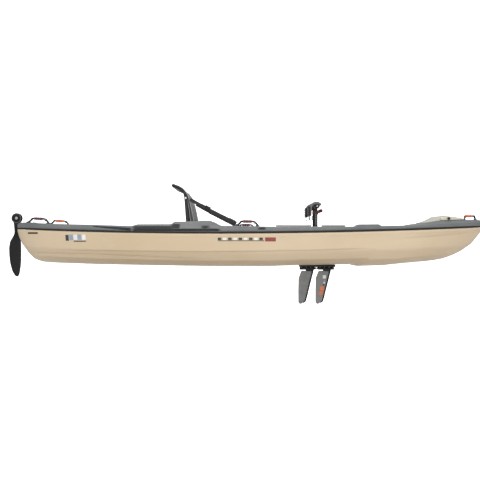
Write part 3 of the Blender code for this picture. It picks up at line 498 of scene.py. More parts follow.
# The pale piping colour is partly painted highlight: pale lines along the back pad's edges, where the
# padding catches the light.
PIPING_HIGHLIGHT = cloth("piping_painted_highlight", (0.42, 0.42, 0.42), (0.64, 0.64, 0.63), 900.0, use_uv=True, depth=0.0002)
WEBBING = cloth(
    "black_webbing", (0.010, 0.010, 0.010), (0.034, 0.034, 0.034), 560.0, use_uv=True, depth=0.0006)
CORD_CLOTH = cloth("cord_cloth", (0.16, 0.15, 0.14), (0.42, 0.40, 0.37), 1500.0, use_uv=True, depth=0.0002)
BADGE_WHITE = moulding(
    "badge_white", (0.74, 0.75, 0.76), (0.84, 0.85, 0.86), (0.3, 0.4), 20.0, 1500.0, 0.00003, 0.2)
BADGE_BLACK = moulding("badge_black", (0.035, 0.032, 0.033), (0.06, 0.055, 0.055), (0.3, 0.4), 20.0, 1500.0,
                       0.00003, 0.1)
BADGE_RED = moulding(
    "badge_red", (0.24, 0.045, 0.04), (0.34, 0.075, 0.065), (0.3, 0.4), 20.0, 1500.0, 0.00003, 0.1)
BADGE_BLUE = moulding(
    "badge_blue", (0.22, 0.30, 0.40), (0.34, 0.42, 0.52), (0.3, 0.4), 20.0, 1500.0, 0.00003, 0.1)
BADGE_ORANGE = moulding(
    "badge_orange", (0.80, 0.15, 0.04), (0.90, 0.22, 0.07), (0.3, 0.4), 20.0, 1500.0, 0.00003, 0.1)
print("materials:", len(bpy.data.materials))

# %% [markdown]
# ## The pull cord
# A short thin cord hangs from the near strap's buckle, and pulling it lets the strap slip. It is a
# curve, because a curve knows its own length. It hangs straight from the strap's lower edge.

# %% Pull cord
def strap_line(side):
    """The recline strap's two ends: the seat back's ring and the anchor on the side deck."""
    return np.array([-0.410, side * 0.2570, 0.436]), np.array([-0.112, side * 0.3560, 0.2795])


def unit(vector):
    """Vectors divided by their own lengths."""
    vector = np.asarray(vector, float)
    return vector / np.linalg.norm(vector, axis=-1, keepdims=True)


def strap_axes(side):
    """Along the strap, out of its face to the side, and up across its width."""
    start, end = strap_line(side)
    along = unit(end - start)
    out = unit(np.array([0.0, side, 0.0]) - along * along[1] * side)
    across = np.cross(out, along)
    return along, out, across * np.sign(across[2])


CORD_DIAMETER = 0.0022
start, end = strap_line(-1)
across = strap_axes(-1)[2]
cord_top = start + 0.50 * (end - start) - 0.015 * across
steps = np.arange(9)[:, None]
cord_route = cord_top + steps * np.array([-0.0010, -0.0004, -0.0055])
cord_curve = bpy.data.curves.new("pull_cord", "CURVE")
cord_curve.dimensions = "3D"
cord_curve.bevel_depth = CORD_DIAMETER / 2
cord_curve.bevel_resolution = 4
cord_curve.use_fill_caps = True
spline = cord_curve.splines.new("POLY")
spline.points.add(len(cord_route) - 1)
spline.points.foreach_set("co", np.hstack([cord_route, np.ones((len(cord_route), 1))]).ravel())
pull_cord = bpy.data.objects.new("pull_cord", cord_curve)
COLLECTION.objects.link(pull_cord)
finish_piece(pull_cord, "hull", CORD_CLOTH, "webbing", "buckle_cord_starboard")


# %% Shapes that the pieces share
SIDES = (("port", 1), ("starboard", -1))


def soften(line, at, width):
    """A line of (place, value) points, read at many places and averaged over a short width."""
    places, values = np.array(line, float).T
    offsets = np.linspace(-1.0, 1.0, 9) * width
    weights = np.cos(np.linspace(-1.0, 1.0, 9) * math.pi / 2.2) ** 2
    samples = np.interp(np.asarray(at)[..., None] + offsets, places, values)
    return samples @ (weights / weights.sum())


def smooth_step(value, low, high):
    """0 below low, 1 above high, and a smooth S between: t t (3 - 2 t)."""
    share = np.clip((value - low) / (high - low), 0.0, 1.0)
    return share * share * (3.0 - 2.0 * share)


def quarter_round(t, least=0.0):
    """sqrt(1 - (1 - t)^2) for t up to 1: a quarter circle that rises from 0, or from sqrt(least)."""
    return np.sqrt(np.clip(1.0 - (1.0 - np.minimum(t, 1.0)) ** 2, least, 1.0))


def curve_through(points, count, closed=False):
    """Evenly spread points of the Catmull-Rom curve through a few points."""
    points = np.array(points, float)
    if closed:
        padded = np.concatenate([points[-1:], points, points[:2]])
    else:
        padded = np.concatenate([2 * points[:1] - points[1:2], points, 2 * points[-1:] - points[-2:-1]])
    segments = len(padded) - 3
    share = np.linspace(0.0, segments, segments * 40 + 1)
    index = np.minimum(share.astype(int), segments - 1)
    t = (share - index)[:, None]
    a, b, c, d = (padded[index + k] for k in range(4))
    fine = 0.5 * (
        2 * b + (c - a) * t + (2 * a - 5 * b + 4 * c - d) * t ** 2 + (3 * b - a - 3 * c + d) * t ** 3)
    walked = np.concatenate([[0.0], np.cumsum(np.linalg.norm(np.diff(fine, axis=0), axis=1))])
    at = np.linspace(0.0, walked[-1], count, endpoint=not closed)
    return np.stack([np.interp(at, walked, fine[:, k]) for k in range(fine.shape[1])], axis=1)


def circle(radius, count, squash=1.0):
    """A round or oval section, anticlockwise."""
    angle = np.linspace(0.0, 2 * math.pi, count, endpoint=False)
    return np.stack([radius * np.cos(angle), radius * squash * np.sin(angle)], axis=1)


def rounded_section(width, height, radius, corner=5):
    """A rectangle with round corners: each corner is a quarter circle about its own centre."""
    quarter = np.linspace(0.0, math.pi / 2, corner)
    points = []
    for turn_number, (sign_x, sign_y) in enumerate(((1, 1), (-1, 1), (-1, -1), (1, -1))):
        angle = quarter + turn_number * math.pi / 2
        middle = np.array([sign_x * (width / 2 - radius), sign_y * (height / 2 - radius)])
        points.append(middle + radius * np.stack([np.cos(angle), np.sin(angle)], axis=1))
    return np.concatenate(points)


def carried(path, section, up, closed=False):
    """A section carried along a path: side = up x tangent, over = tangent x side."""
    path = np.asarray(path, float)
    if closed:
        tangent = np.roll(path, -1, axis=0) - np.roll(path, 1, axis=0)
    else:
        tangent = np.gradient(path, axis=0)
    tangent = unit(tangent)
    side = unit(np.cross(np.broadcast_to(up, path.shape), tangent))
    over = np.cross(tangent, side)
    section = np.broadcast_to(section, (len(path),) + np.shape(section)[-2:])
    return path[:, None] + section[..., :1] * side[:, None] + section[..., 1:] * over[:, None]


def bar(name, path, section, up, closed=False, smooth_angle=40.0):
    """A closed bar: a section carried along a path, with filled ends."""
    grid = carried(path, section, up, closed)
    return surface(name, grid, around=True, along=closed, smooth_angle=smooth_angle)


def turned_piece(name, profile, centre, axis, sides=40, smooth_angle=35.0, flutes=0, flute_depth=0.0):
    """A turned piece: (height, radius) points swept round an axis, with optional flutes.

    Radius at angle a is r (1 - depth (0.5 + 0.5 cos(flutes a))).
    """
    profile = np.array(profile, float)
    axis = unit(axis)
    helper = np.array([0.0, 0.0, 1.0]) if abs(axis[2]) < 0.9 else np.array([1.0, 0.0, 0.0])
    first = unit(np.cross(helper, axis))
    second = np.cross(axis, first)
    angle = np.linspace(0.0, 2 * math.pi, sides, endpoint=False)
    ripple = 1.0 - flute_depth * (0.5 + 0.5 * np.cos(flutes * angle))
    radius = profile[:, 1][:, None] * ripple
    grid = (np.asarray(centre, float) + profile[:, 0][:, None, None] * axis
            + (radius * np.cos(angle))[..., None] * first + (radius * np.sin(angle))[..., None] * second)
    return surface(name, grid, smooth_angle=smooth_angle)


def rounded_block(name, low, high, radius, steps=4, smooth_angle=50.0):
    """A block with round edges: each point of a cube's grid is pulled in to the inner block, then
    pushed out by the radius along the way that it came."""
    low = np.array(low, float)
    high = np.array(high, float)
    half = (high - low) / 2
    radius = min(radius, 0.999 * half.min())
    ramps = radius * np.tan(np.linspace(0.0, math.pi / 4, steps + 1))[::-1]
    ticks = [
        np.concatenate([-(half[k] - radius) - ramps, (half[k] - radius) + ramps[::-1]]) for k in range(3)]
    points = []
    faces = []
    for axis in range(3):
        a, b = (axis + 1) % 3, (axis + 2) % 3
        for sign in (-1.0, 1.0):
            rows, columns = len(ticks[a]), len(ticks[b])
            grid = np.zeros((rows, columns, 3))
            grid[..., axis] = sign * half[axis]
            grid[..., a] = ticks[a][:, None]
            grid[..., b] = ticks[b][None, :]
            patch = quads(rows, columns) + sum(len(p) for p in points)
            faces += (patch if sign < 0 else patch[:, ::-1]).tolist()
            points.append(grid.reshape(-1, 3))
    points = np.concatenate(points)
    inner = np.clip(points, -(half - radius), half - radius)
    points = inner + radius * unit(points - inner) + (low + high) / 2
    _, first_at, merged = np.unique(np.round(points, 7), axis=0, return_index=True, return_inverse=True)
    merged = merged.reshape(-1)
    faces = [tuple(merged[face].tolist()) for face in np.array(faces)]
    return mesh_piece(name, points[first_at], outward(points[first_at], faces), smooth_angle)


def side_block(name, side, x_span, y_span, z_span, radius, steps=4):
    """A block with round edges by its three spans, with y counted outwards on one side."""
    low_y, high_y = sorted((side * y_span[0], side * y_span[1]))
    return rounded_block(name, (x_span[0], low_y, z_span[0]), (x_span[1], high_y, z_span[1]), radius, steps)


def read_line(line, at):
    """A line of (place, value) points in any order, read straight between its points."""
    places, values = np.array(sorted(line)).T
    return np.interp(at, places, values)


def recoat(node, material):
    """Give a node that is kept from the model its finish."""
    slots = bpy.data.objects[node].data.materials
    if not slots:
        slots.append(material)
    for index in range(len(slots)):
        slots[index] = material


def outline_normals(outline):
    """Outward normals of a closed outline that runs anticlockwise."""
    tangent = unit(np.roll(outline, -1, axis=0) - np.roll(outline, 1, axis=0))
    return np.stack([tangent[:, 1], -tangent[:, 0]], axis=1)


def anticlockwise(outline):
    """An outline turned so that its shoelace sum, twice its area, is positive."""
    outline = np.asarray(outline, float)
    following = np.roll(outline, -1, axis=0)
    area = (outline[:, 0] * following[:, 1] - following[:, 0] * outline[:, 1]).sum()
    return outline if area > 0 else outline[::-1]


def plate(name, outline, low, high, edge, normal="y", steps=4, smooth_angle=35.0):
    """A plate cut to an outline, with round edges: each layer is the outline moved in by
    edge (1 - cos a) at a depth of edge sin a, and flat faces close it."""
    outline = anticlockwise(outline)
    normals = outline_normals(outline)
    angle = np.linspace(0.0, math.pi / 2, steps + 1)
    inset = np.concatenate([edge * (1 - np.cos(angle))[::-1], edge * (1 - np.cos(angle))])
    depth = np.concatenate([low + edge - edge * np.sin(angle)[::-1], high - edge + edge * np.sin(angle)])
    flat = outline[None] - inset[:, None, None] * normals[None]
    level = np.broadcast_to(depth[:, None], flat.shape[:2])
    if normal == "y":
        grid = np.stack([flat[..., 0], level, flat[..., 1]], axis=-1)
    else:
        grid = np.stack([flat[..., 0], flat[..., 1], level], axis=-1)
    rows, columns = grid.shape[:2]
    faces = [tuple(face) for face in quads(rows, columns, around=True).tolist()]
    faces.append(tuple(range(columns))[::-1])
    faces.append(tuple(range((rows - 1) * columns, rows * columns)))
    points = grid.reshape(-1, 3)
    return mesh_piece(name, points, outward(points, faces), smooth_angle)


def side_plate(name, outline, side, y_span, edge):
    """A plate that faces sideways, with its two y values counted outwards on one side."""
    return plate(name, outline, *sorted((side * y_span[0], side * y_span[1])), edge)


def arc_points(centre, radius, start_angle, end_angle, count):
    """Points of an arc, with its angles in degrees."""
    angle = np.radians(np.linspace(start_angle, end_angle, count))
    return np.stack([centre[0] + radius * np.cos(angle), centre[1] + radius * np.sin(angle)], axis=1)

# %% [markdown]
# ## The hull
# The lower half is one vacuum-formed sheet. Its half-breadth follows the length by a blunt
# power curve, its section runs flat, round the bilge and up a nearly upright side, and two long
# ledges stiffen the side. A function of two parameters, length and girth, gives the whole
# shape; a cutter then opens the well for the pedal drive.

# %% Hull lines
hull_low, hull_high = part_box("hull_shell")
STERN_TIP = hull_low.x
BOW_TIP = hull_high.x
HALF_BEAM = 0.430
KEEL_AFT = -1.500
KEEL_FORE = 1.356
TRIM_HEIGHT = 0.0104
HULL_WALL = 0.004
HULL_ROWS = 280
HULL_COLUMNS = 84
KEEL_SOFT = 0.006
STEM_SOFT = 0.008
SECTION_SOFT = 0.035
KEEL_LINE = [
    (-1.500, 0.065), (-1.479, 0.051), (-1.458, 0.037), (-1.417, 0.027), (-1.328, 0.0216),
    (-1.050, 0.013), (-0.710, 0.0065), (-0.300, 0.0), (0.100, 0.0), (0.300, 0.0065),
    (0.672, 0.0125), (0.684, 0.0), (0.870, 0.005), (1.010, 0.019), (1.150, 0.030),
    (1.218, 0.037), (1.287, 0.048), (1.356, 0.068),
]
STERN_STEM = [
    (0.065, -1.500), (0.092, -1.520), (0.127, -1.541), (0.154, -1.561), (0.2025, -1.582), (0.236, -1.590),
    (0.250, -1.590),
]
BOW_STEM = [
    (0.068, 1.356), (0.103, 1.425), (0.151, 1.493), (0.205, 1.537), (0.238, 1.562), (0.252, 1.585),
    (0.270, 1.585),
]
SECTION_OUT = [
    (0.0, 0.0), (0.28, 0.28), (0.60, 0.60), (0.84, 0.80), (1.08, 0.900), (1.15, 0.922), (1.36, 0.955),
    (1.54, 0.985), (1.61, 1.0), (1.66, 1.0),
]
SECTION_UP = [
    (0.0, 0.0), (0.28, 0.0), (0.60, 0.07), (0.84, 0.21), (1.08, 0.43), (1.15, 0.49), (1.36, 0.70),
    (1.54, 0.88), (1.61, 0.95), (1.66, 1.0),
]


def plan(share):
    """Half-breadth over half-beam: a blunt power curve at each end, multiplied together."""
    share = np.clip(share, 0.0, 1.0)
    stern = (1 - (1 - np.minimum(share / 0.5, 1)) ** 2.5) ** 0.35
    bow = (1 - (1 - np.minimum((1 - share) / 0.5, 1)) ** 2.4) ** 0.52
    return stern * bow


def half_breadth(x):
    """Half the beam at a length: half-beam x plan."""
    return HALF_BEAM * plan((x - STERN_TIP) / (BOW_TIP - STERN_TIP))


def seam_height(x):
    """Height of the joint: a parabola from its lowest point, flatter forward than aft."""
    run = np.asarray(x, float) + 0.25
    return 0.215 + np.where(run < 0, 0.0325 * (run / 1.34) ** 2, 0.048 * (run / 1.85) ** 2)


def ledge(height, line, depth, below):
    """A step into the side just under a line, which runs back out over the distance below."""
    drop = line - height
    return depth * smooth_step(drop, -0.0010, 0.0045) * np.exp(-np.maximum(drop, 0.0) / below)


def keel_height(share):
    """Height of the keel at a share of its length."""
    return soften(KEEL_LINE, KEEL_AFT + share * (KEEL_FORE - KEEL_AFT), KEEL_SOFT)


def stem_places(up):
    """x of the stern and of the bow, at a share of the height between keel and seam."""
    stern_z = KEEL_LINE[0][1] + up * (seam_height(STERN_TIP) - KEEL_LINE[0][1])
    bow_z = KEEL_LINE[-1][1] + up * (seam_height(BOW_TIP) - KEEL_LINE[-1][1])
    return soften(STERN_STEM, stern_z, STEM_SOFT), soften(BOW_STEM, bow_z, STEM_SOFT)


def hull_grid(rows, columns):
    """Points of the hull: x between the two stems, y = plan x section, z between keel and seam."""
    share = 0.5 - 0.5 * np.cos(np.linspace(0.0, math.pi, rows))
    girth = np.linspace(0.0, SECTION_OUT[-1][0], columns)
    out = soften(SECTION_OUT, girth, SECTION_SOFT)
    up = soften(SECTION_UP, girth, SECTION_SOFT)
    out[0] = up[0] = 0.0
    out[-1] = up[-1] = 1.0
    station = STERN_TIP + share * (BOW_TIP - STERN_TIP)
    keel_z = keel_height(share)
    seam_z = seam_height(station)
    z = keel_z[:, None] + up[None] * (seam_z - keel_z)[:, None]
    stern_x, bow_x = stem_places(up)
    x = stern_x[None] + share[:, None] * (bow_x - stern_x)[None]
    y = HALF_BEAM * out[None] * plan(share)[:, None]
    main_line = np.interp(
        x, [-1.6, -1.0, -0.3, 0.37, 0.56, 0.76], [0.119, 0.110, 0.103, 0.113, 0.120, 0.126])
    main = ledge(z, main_line, 0.0090, 0.024) * smooth_step(x, -1.35, -1.0) * (
        1 - smooth_step(x, 0.55, 0.76))
    low_line = np.interp(x, [-1.5, -1.0, -0.4, -0.2], [0.096, 0.090, 0.063, 0.054])
    low = ledge(z, low_line, 0.0090, 0.040) * smooth_step(x, -1.52, -1.40) * (
        1 - smooth_step(x, -0.55, -0.2))
    bow_line = np.interp(x, [0.70, 1.00, 1.30, 1.52], [0.176, 0.193, 0.215, 0.248])
    fore = ledge(z, bow_line, 0.0070, 0.050) * smooth_step(x, 0.75, 1.15) * (1 - smooth_step(x, 1.44, 1.53))
    y = y - (main + low + fore) * np.minimum(1.0, y / 0.08)
    return np.stack([x, np.maximum(y, 0.0), z], axis=-1)


starboard_half = hull_grid(HULL_ROWS, HULL_COLUMNS)
mirrored_half = starboard_half * np.array([1.0, -1.0, 1.0])
whole = np.concatenate([mirrored_half[:, :0:-1], starboard_half], axis=1)
hull_skin = surface("hull_skin", whole, around=False, smooth_angle=60.0)
print(
    "hull skin spans", np.round(whole.reshape(-1, 3).min(axis=0), 3),
    np.round(whole.reshape(-1, 3).max(axis=0), 3))


# %% Wall and well of the hull
def give_wall(piece, thickness, weld=0.00002):
    """Close an open skin with a wall on its inner side, once its doubled points are merged."""
    joined = piece.modifiers.new("joined", "WELD")
    joined.merge_threshold = weld
    wall = piece.modifiers.new("wall", "SOLIDIFY")
    wall.thickness = thickness
    wall.offset = -1.0
    return piece


def open_hole(piece, low, high, name):
    """Cut a box-shaped hole with an unseen cutter."""
    cutter = rounded_block(name, low, high, 0.004, 2)
    COLLECTION.objects.unlink(cutter)
    cut = piece.modifiers.new(name, "BOOLEAN")
    cut.operation = "DIFFERENCE"
    cut.object = cutter
    return cutter


def settle(piece, *cutters):
    """Turn a piece's modifiers into its mesh, then drop the cutters."""
    bpy.context.view_layer.update()
    graph = bpy.context.evaluated_depsgraph_get()
    mesh = bpy.data.meshes.new_from_object(piece.evaluated_get(graph))
    piece.modifiers.clear()
    piece.data = mesh
    for cutter in cutters:
        bpy.data.objects.remove(cutter, do_unlink=True)
    return piece


def faces_point(piece, corner, direction):
    """True when the face nearest a place looks along a direction."""
    mesh = piece.data
    centres = np.empty(len(mesh.polygons) * 3)
    normals = np.empty(len(mesh.polygons) * 3)
    mesh.polygons.foreach_get("center", centres)
    mesh.polygons.foreach_get("normal", normals)
    nearest = np.linalg.norm(centres.reshape(-1, 3) - corner, axis=1).argmin()
    return float(normals.reshape(-1, 3)[nearest] @ np.array(direction, float)) > 0


WELL_AFT = 0.325
WELL_FORE = 0.555
WELL_HALF = 0.0355
if not faces_point(hull_skin, (0.0, 0.43, 0.18), (0, 1, 0)):
    hull_skin.data.flip_normals()
give_wall(hull_skin, HULL_WALL)
well = open_hole(hull_skin, (WELL_AFT, -WELL_HALF, -0.02), (WELL_FORE, WELL_HALF, 0.06), "hull_well_cutter")
settle(hull_skin, well)
finish_piece(hull_skin, "hull", SAND, "hull_plastic", "hull_shell")
print("hull skin faces:", len(hull_skin.data.polygons))

# %% [markdown]
# ## The deck
# The upper half is formed the same way. A section is drawn as a few corner points, every
# corner is rounded by a short quadratic curve, and the section changes along the boat:
# a flat tank well, a seat platform, a footwell with a raised middle, and a crowned bow.
# The outer band carries long insets and notches, which are pressed inward and keep a
# mask in the mesh, so that the finish can paint shade into them.

# %% Deck lines
SEAT_FLOOR = 0.135
TUNNEL_TOP = 0.205
DECK_WALL = 0.003
DECK_ROWS = 330
RAIL_SOFT = 0.008
FLOOR_SOFT = 0.012
INSET_DEPTH = 0.0070
LINE_DEPTH = 0.0012
RIB_RISE = 0.0030
RIB_PITCH = 0.05
GROOVE_PITCH = 0.045
GUNWALE_LINE = [
    (-1.590, 0.262), (-1.575, 0.279), (-1.550, 0.2875), (-1.500, 0.290), (-1.250, 0.277), (-0.900, 0.267),
    (-0.760, 0.262), (-0.725, 0.273), (-0.510, 0.2735), (-0.495, 0.289), (-0.400, 0.2895), (-0.300, 0.2955),
    (-0.270, 0.294), (-0.235, 0.280), (-0.206, 0.2635), (-0.110, 0.262), (0.120, 0.2575), (0.600, 0.2585),
    (0.632, 0.260), (0.640, 0.272), (0.780, 0.274), (0.790, 0.263), (1.000, 0.268), (1.250, 0.282),
    (1.400, 0.292), (1.500, 0.300), (1.562, 0.303), (1.578, 0.293), (1.585, 0.277),
]
FLOOR_LINE = [
    (-1.590, 0.262), (-1.575, 0.279), (-1.550, 0.2875), (-1.500, 0.290), (-1.330, 0.2812), (-1.290, 0.205),
    (-0.700, 0.205), (-0.655, 0.238), (-0.585, 0.238), (-0.545, SEAT_FLOOR), (0.100, SEAT_FLOOR),
    (0.200, 0.115), (0.860, 0.115), (1.000, 0.200), (1.060, 0.262), (1.100, 0.284), (1.240, 0.302),
    (1.450, 0.311), (1.530, 0.311), (1.562, 0.306), (1.578, 0.293), (1.585, 0.277),
]


def round_corners(corners, reach, samples=5):
    """Each inner corner becomes the quadratic curve (1-t)^2 a + 2 t (1-t) b + t^2 c, whose ends a
    and c lie on the two edges, no further than the reach or 0.45 of the edge."""
    before = corners[:, :-2] - corners[:, 1:-1]
    after = corners[:, 2:] - corners[:, 1:-1]
    length_before = np.linalg.norm(before, axis=2, keepdims=True) + 1e-9
    length_after = np.linalg.norm(after, axis=2, keepdims=True) + 1e-9
    a = corners[:, 1:-1] + before * np.minimum(0.45, reach / length_before)
    c = corners[:, 1:-1] + after * np.minimum(0.45, reach / length_after)
    t = np.linspace(0.0, 1.0, samples)[None, None, :, None]
    curve = (1 - t) ** 2 * a[:, :, None] + 2 * t * (1 - t) * corners[:, 1:-1, None] + t ** 2 * c[:, :, None]
    curve = curve.reshape(len(corners), -1, corners.shape[2])
    return np.concatenate([corners[:, :1], curve, corners[:, -1:]], axis=1)


def window(value, low, high, edge):
    """1 between low and high, with soft edges."""
    return smooth_step(value, low - edge, low + edge) * (1 - smooth_step(value, high - edge, high + edge))


def band_insets(x, z):
    """Where the outer band is pressed in: the pods' long slot, two notches, the stern wedge and
    the short slot amidships. 1 is full depth."""
    aft_pod = window(x, -0.750, -0.505, 0.010) * window(z, 0.2275, 0.2590, 0.0022)
    pod = np.maximum(aft_pod, window(x, -0.60, -0.215, 0.012) * window(z, 0.2275, 0.2430, 0.0022))
    aft_notch = window(x, -0.512, -0.462, 0.006) * window(z, 0.246, 0.272, 0.003)
    mid_notch = window(x, -0.322, -0.284, 0.006) * window(z, 0.244, 0.262, 0.003)
    wedge_middle = np.interp(x, [-1.02, -0.76], [0.2615, 0.2395])
    wedge_half = np.interp(x, [-1.02, -0.76], [0.0008, 0.0085])
    wedge = window(x, -1.01, -0.765, 0.01) * (
        1 - smooth_step(np.abs(z - wedge_middle) - wedge_half, -0.001, 0.002))
    short = window(x, 0.025, 0.066, 0.004) * window(z, 0.2385, 0.2515, 0.002)
    return np.maximum.reduce([pod, aft_notch, mid_notch, wedge, short])


def deck_grid(rows):
    """Points of one half of the deck, and the inset mask, from the centreline to the seam; the mask presses
    the band in and later paints shade into its recesses.
    """
    even = np.linspace(0.0, 1.0, rows)
    crowded = 0.5 - 0.5 * np.cos(math.pi * even)
    share = 0.35 * crowded + 0.65 * even
    x = STERN_TIP + share * (BOW_TIP - STERN_TIP)
    breadth = half_breadth(x)
    foot = seam_height(x) + TRIM_HEIGHT + 0.0008
    rail = soften(GUNWALE_LINE, x, RAIL_SOFT)
    floor = soften(FLOOR_LINE, x, FLOOR_SOFT)
    ends = np.minimum(x - STERN_TIP, BOW_TIP - x)
    rail = np.maximum(rail, foot + 0.004)
    floor = np.where(ends < 0.03, np.minimum(floor, rail + 0.004), floor)
    on_tunnel = smooth_step(x, 0.276, 0.296) * (1 - smooth_step(x, 0.589, 0.609))
    top = floor + on_tunnel * (TUNNEL_TOP - floor)
    ease = np.minimum(1.0, breadth / 0.12)
    inner_rail = np.maximum(breadth - 0.070, 0.78 * breadth)
    floor_edge = np.maximum(breadth - 0.130, 0.60 * breadth)
    tunnel = np.minimum(0.080, 0.25 * breadth)
    depth = rail - floor
    corners = np.stack([
        np.stack([np.zeros_like(x), top], axis=1),
        np.stack([tunnel, top], axis=1),
        np.stack([tunnel + 0.012 * ease, floor], axis=1),
        np.stack([floor_edge - 0.012 * ease, floor], axis=1),
        np.stack([floor_edge, floor + 0.12 * depth], axis=1),
        np.stack([inner_rail - 0.008 * ease, rail - 0.12 * depth], axis=1),
        np.stack([inner_rail, rail], axis=1),
        np.stack([breadth - 0.008 * ease, rail], axis=1),
    ], axis=1)
    upper = round_corners(corners, 0.008)
    flat_from, flat_to = 11, 12
    share_in = np.linspace(0.0, 1.0, 18)[None, 1:-1, None]
    flat = upper[:, flat_from:flat_from + 1] * (1 - share_in) + upper[:, flat_to:flat_to + 1] * share_in
    upper = np.concatenate([upper[:, :flat_to], flat, upper[:, flat_to:]], axis=1)
    down = np.linspace(0.0, 1.0, 26)[None, :]
    swell = np.interp(down[0], [0.0, 0.10, 0.25, 0.65, 1.0], [-0.0080, -0.0015, 0.0012, 0.0040, 0.0])
    swell = np.convolve(np.pad(swell, 1, mode="edge"), [0.25, 0.5, 0.25], mode="valid")
    swell[0], swell[-1] = -0.0080, 0.0
    band_y = breadth[:, None] + swell[None] * ease[:, None]
    band_z = rail[:, None] + down * (foot - rail)[:, None]
    section = np.concatenate([upper, np.stack([band_y, band_z], axis=-1)[:, 1:]], axis=1)
    grid = np.concatenate([np.broadcast_to(x[:, None, None], section.shape[:2] + (1,)), section], axis=2)
    band_from = section.shape[1] - 25
    grid_x, grid_y, grid_z = grid[..., 0], grid[..., 1].copy(), grid[..., 2].copy()
    inset = band_insets(grid_x, grid_z)
    inset[:, :band_from] = 0.0
    inset[:, -1] = 0.0
    groove = window(grid_x, 0.10, 1.45, 0.02) * np.exp(
        -((grid_z - (foot + 0.55 * (rail - foot))[:, None]) / 0.0016) ** 2)
    groove[:, :band_from] = 0.0
    grid_y -= INSET_DEPTH * inset + LINE_DEPTH * groove
    on_floor = window(grid_y, 0.105, 0.245, 0.010) * (np.abs(grid_z - floor[:, None]) < 0.002)
    ribs = window(grid_x, 0.30, 0.80, 0.01) * np.maximum(0.0, np.cos(2 * math.pi * grid_x / RIB_PITCH)) ** 3
    grooves = window(grid_x, -1.24, -0.74, 0.01) * np.maximum(
        0.0, np.cos(2 * math.pi * grid_y / GROOVE_PITCH)) ** 3
    grid_z += RIB_RISE * (ribs + grooves) * on_floor
    return np.stack([grid_x, grid_y, grid_z], axis=-1), inset


port, inset = deck_grid(DECK_ROWS)
starboard = port * np.array([1.0, -1.0, 1.0])
deck_points = np.concatenate([starboard[:, :0:-1], port], axis=1)
deck_painted_shade = np.concatenate([inset[:, :0:-1], inset], axis=1)
deck_skin = surface("deck_skin", deck_points, around=False, smooth_angle=50.0)
# The inset mask is kept on the mesh, where the deck finish uses it to paint shade into the recesses.
painted_shade_mask = deck_skin.data.attributes.new("inset", "FLOAT", "POINT")
painted_shade_mask.data.foreach_set("value", deck_painted_shade.astype(np.float32).ravel())
if not faces_point(deck_skin, (0.0, 0.0, SEAT_FLOOR), (0, 0, 1)):
    deck_skin.data.flip_normals()
give_wall(deck_skin, DECK_WALL)
deck_well = open_hole(
    deck_skin, (WELL_AFT, -WELL_HALF, 0.15), (WELL_FORE, WELL_HALF, 0.25), "deck_well_cutter")
deck_hatch = open_hole(deck_skin, (1.268, -0.085, 0.26), (1.392, 0.085, 0.34), "deck_hatch_cutter")
settle(deck_skin, deck_well, deck_hatch)
finish_piece(deck_skin, "hull", GREY_DECK, "deck_plastic", "deck_shell")
print("deck skin faces:", len(deck_skin.data.polygons))

# %% [markdown]
# ## The seam strip
# A rubber bumper is pressed over the flange where the two halves meet. It is one bar with a
# rounded section, carried once round the boat and closed on itself.

# %% Seam strip
TRIM_WIDTH = 0.0076
around = np.linspace(0.0, math.pi, 420)
station = STERN_TIP + (0.5 - 0.5 * np.cos(around)) * (BOW_TIP - STERN_TIP)
trim_y = half_breadth(station) + 0.001 * np.minimum(1.0, half_breadth(station) / 0.05)
trim_x = station + TRIM_WIDTH / 2 * np.cos(around)
trim_z = seam_height(station) + TRIM_HEIGHT / 2 + 0.0004
port_run = np.stack([trim_x, trim_y, trim_z], axis=1)
starboard_run = port_run[-2:0:-1] * np.array([1.0, -1.0, 1.0])
trim_path = np.concatenate([port_run, starboard_run])
seam_strip = bar(
    "seam_strip", trim_path, rounded_section(TRIM_WIDTH, TRIM_HEIGHT, 0.0030), (0, 0, 1), closed=True)
finish_piece(seam_strip, "hull", BLACK_RUBBER, "seam_rubber", "seam_trim")

# %% [markdown]
# ## Accessory tracks
# Four aluminium extrusions with a T-slot are screwed along the gunwales, for rod holders. An
# extrusion is the same section all along, so its outline is carried along a straight path.

# %% Accessory tracks
def track_outline(width, height):
    """Half an extrusion's outline, mirrored: base, outer wall, lip, and the undercut slot."""
    half = np.array([
        (width / 2, 0.0), (width / 2, height - 0.0012), (width / 2 - 0.0012, height), (0.0045, height),
        (0.0045, height - 0.0018), (0.0080, height - 0.0018), (0.0080, 0.0030),
    ])
    return np.concatenate([half, half[::-1] * np.array([-1.0, 1.0])])


def make_track(node):
    """An extrusion as long as its node, with its row of screws."""
    low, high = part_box(node)
    middle_y = (low.y + high.y) / 2
    path = np.linspace((low.x, middle_y, low.z), (high.x, middle_y, low.z), 4)
    section = track_outline(high.y - low.y, high.z - low.z)
    track = bar(f"{node}_extrusion", path, section, (0, 0, 1), smooth_angle=25.0)
    finish_piece(track, "hull", TRACK, "track_metal", node)
    count = 4 if high.x - low.x > 0.2 else 3
    for number, x in enumerate(np.linspace(low.x + 0.018, high.x - 0.018, count)):
        head = [(0.0031, 0.0), (0.0031, 0.0034), (0.0042, 0.0030), (0.0046, 0.0016), (0.0040, 0.0)]
        screw = turned_piece(f"{node}_screw_{number}", head, (x, middle_y, low.z), (0, 0, 1), 20)
        finish_piece(screw, "hull", STEEL, "steel")


for place_name in ("aft", "fore"):
    for side_name in ("port", "starboard"):
        make_track(f"gear_track_{place_name}_{side_name}")


# %% [markdown]
# ## Bow fairing and hatch
# A pale dome sheds water ahead of the feet, and a lid closes the bow's dry stowage. Both
# are arches: each section is a superellipse over a flat foot, and its crest and width change
# along the boat. A thin raised panel in olive covers the lid's centre; the olive is painted shade.

# %% Arches over the deck
def crown(x):
    """The deck's height on its centreline."""
    return soften(FLOOR_LINE, x, FLOOR_SOFT)


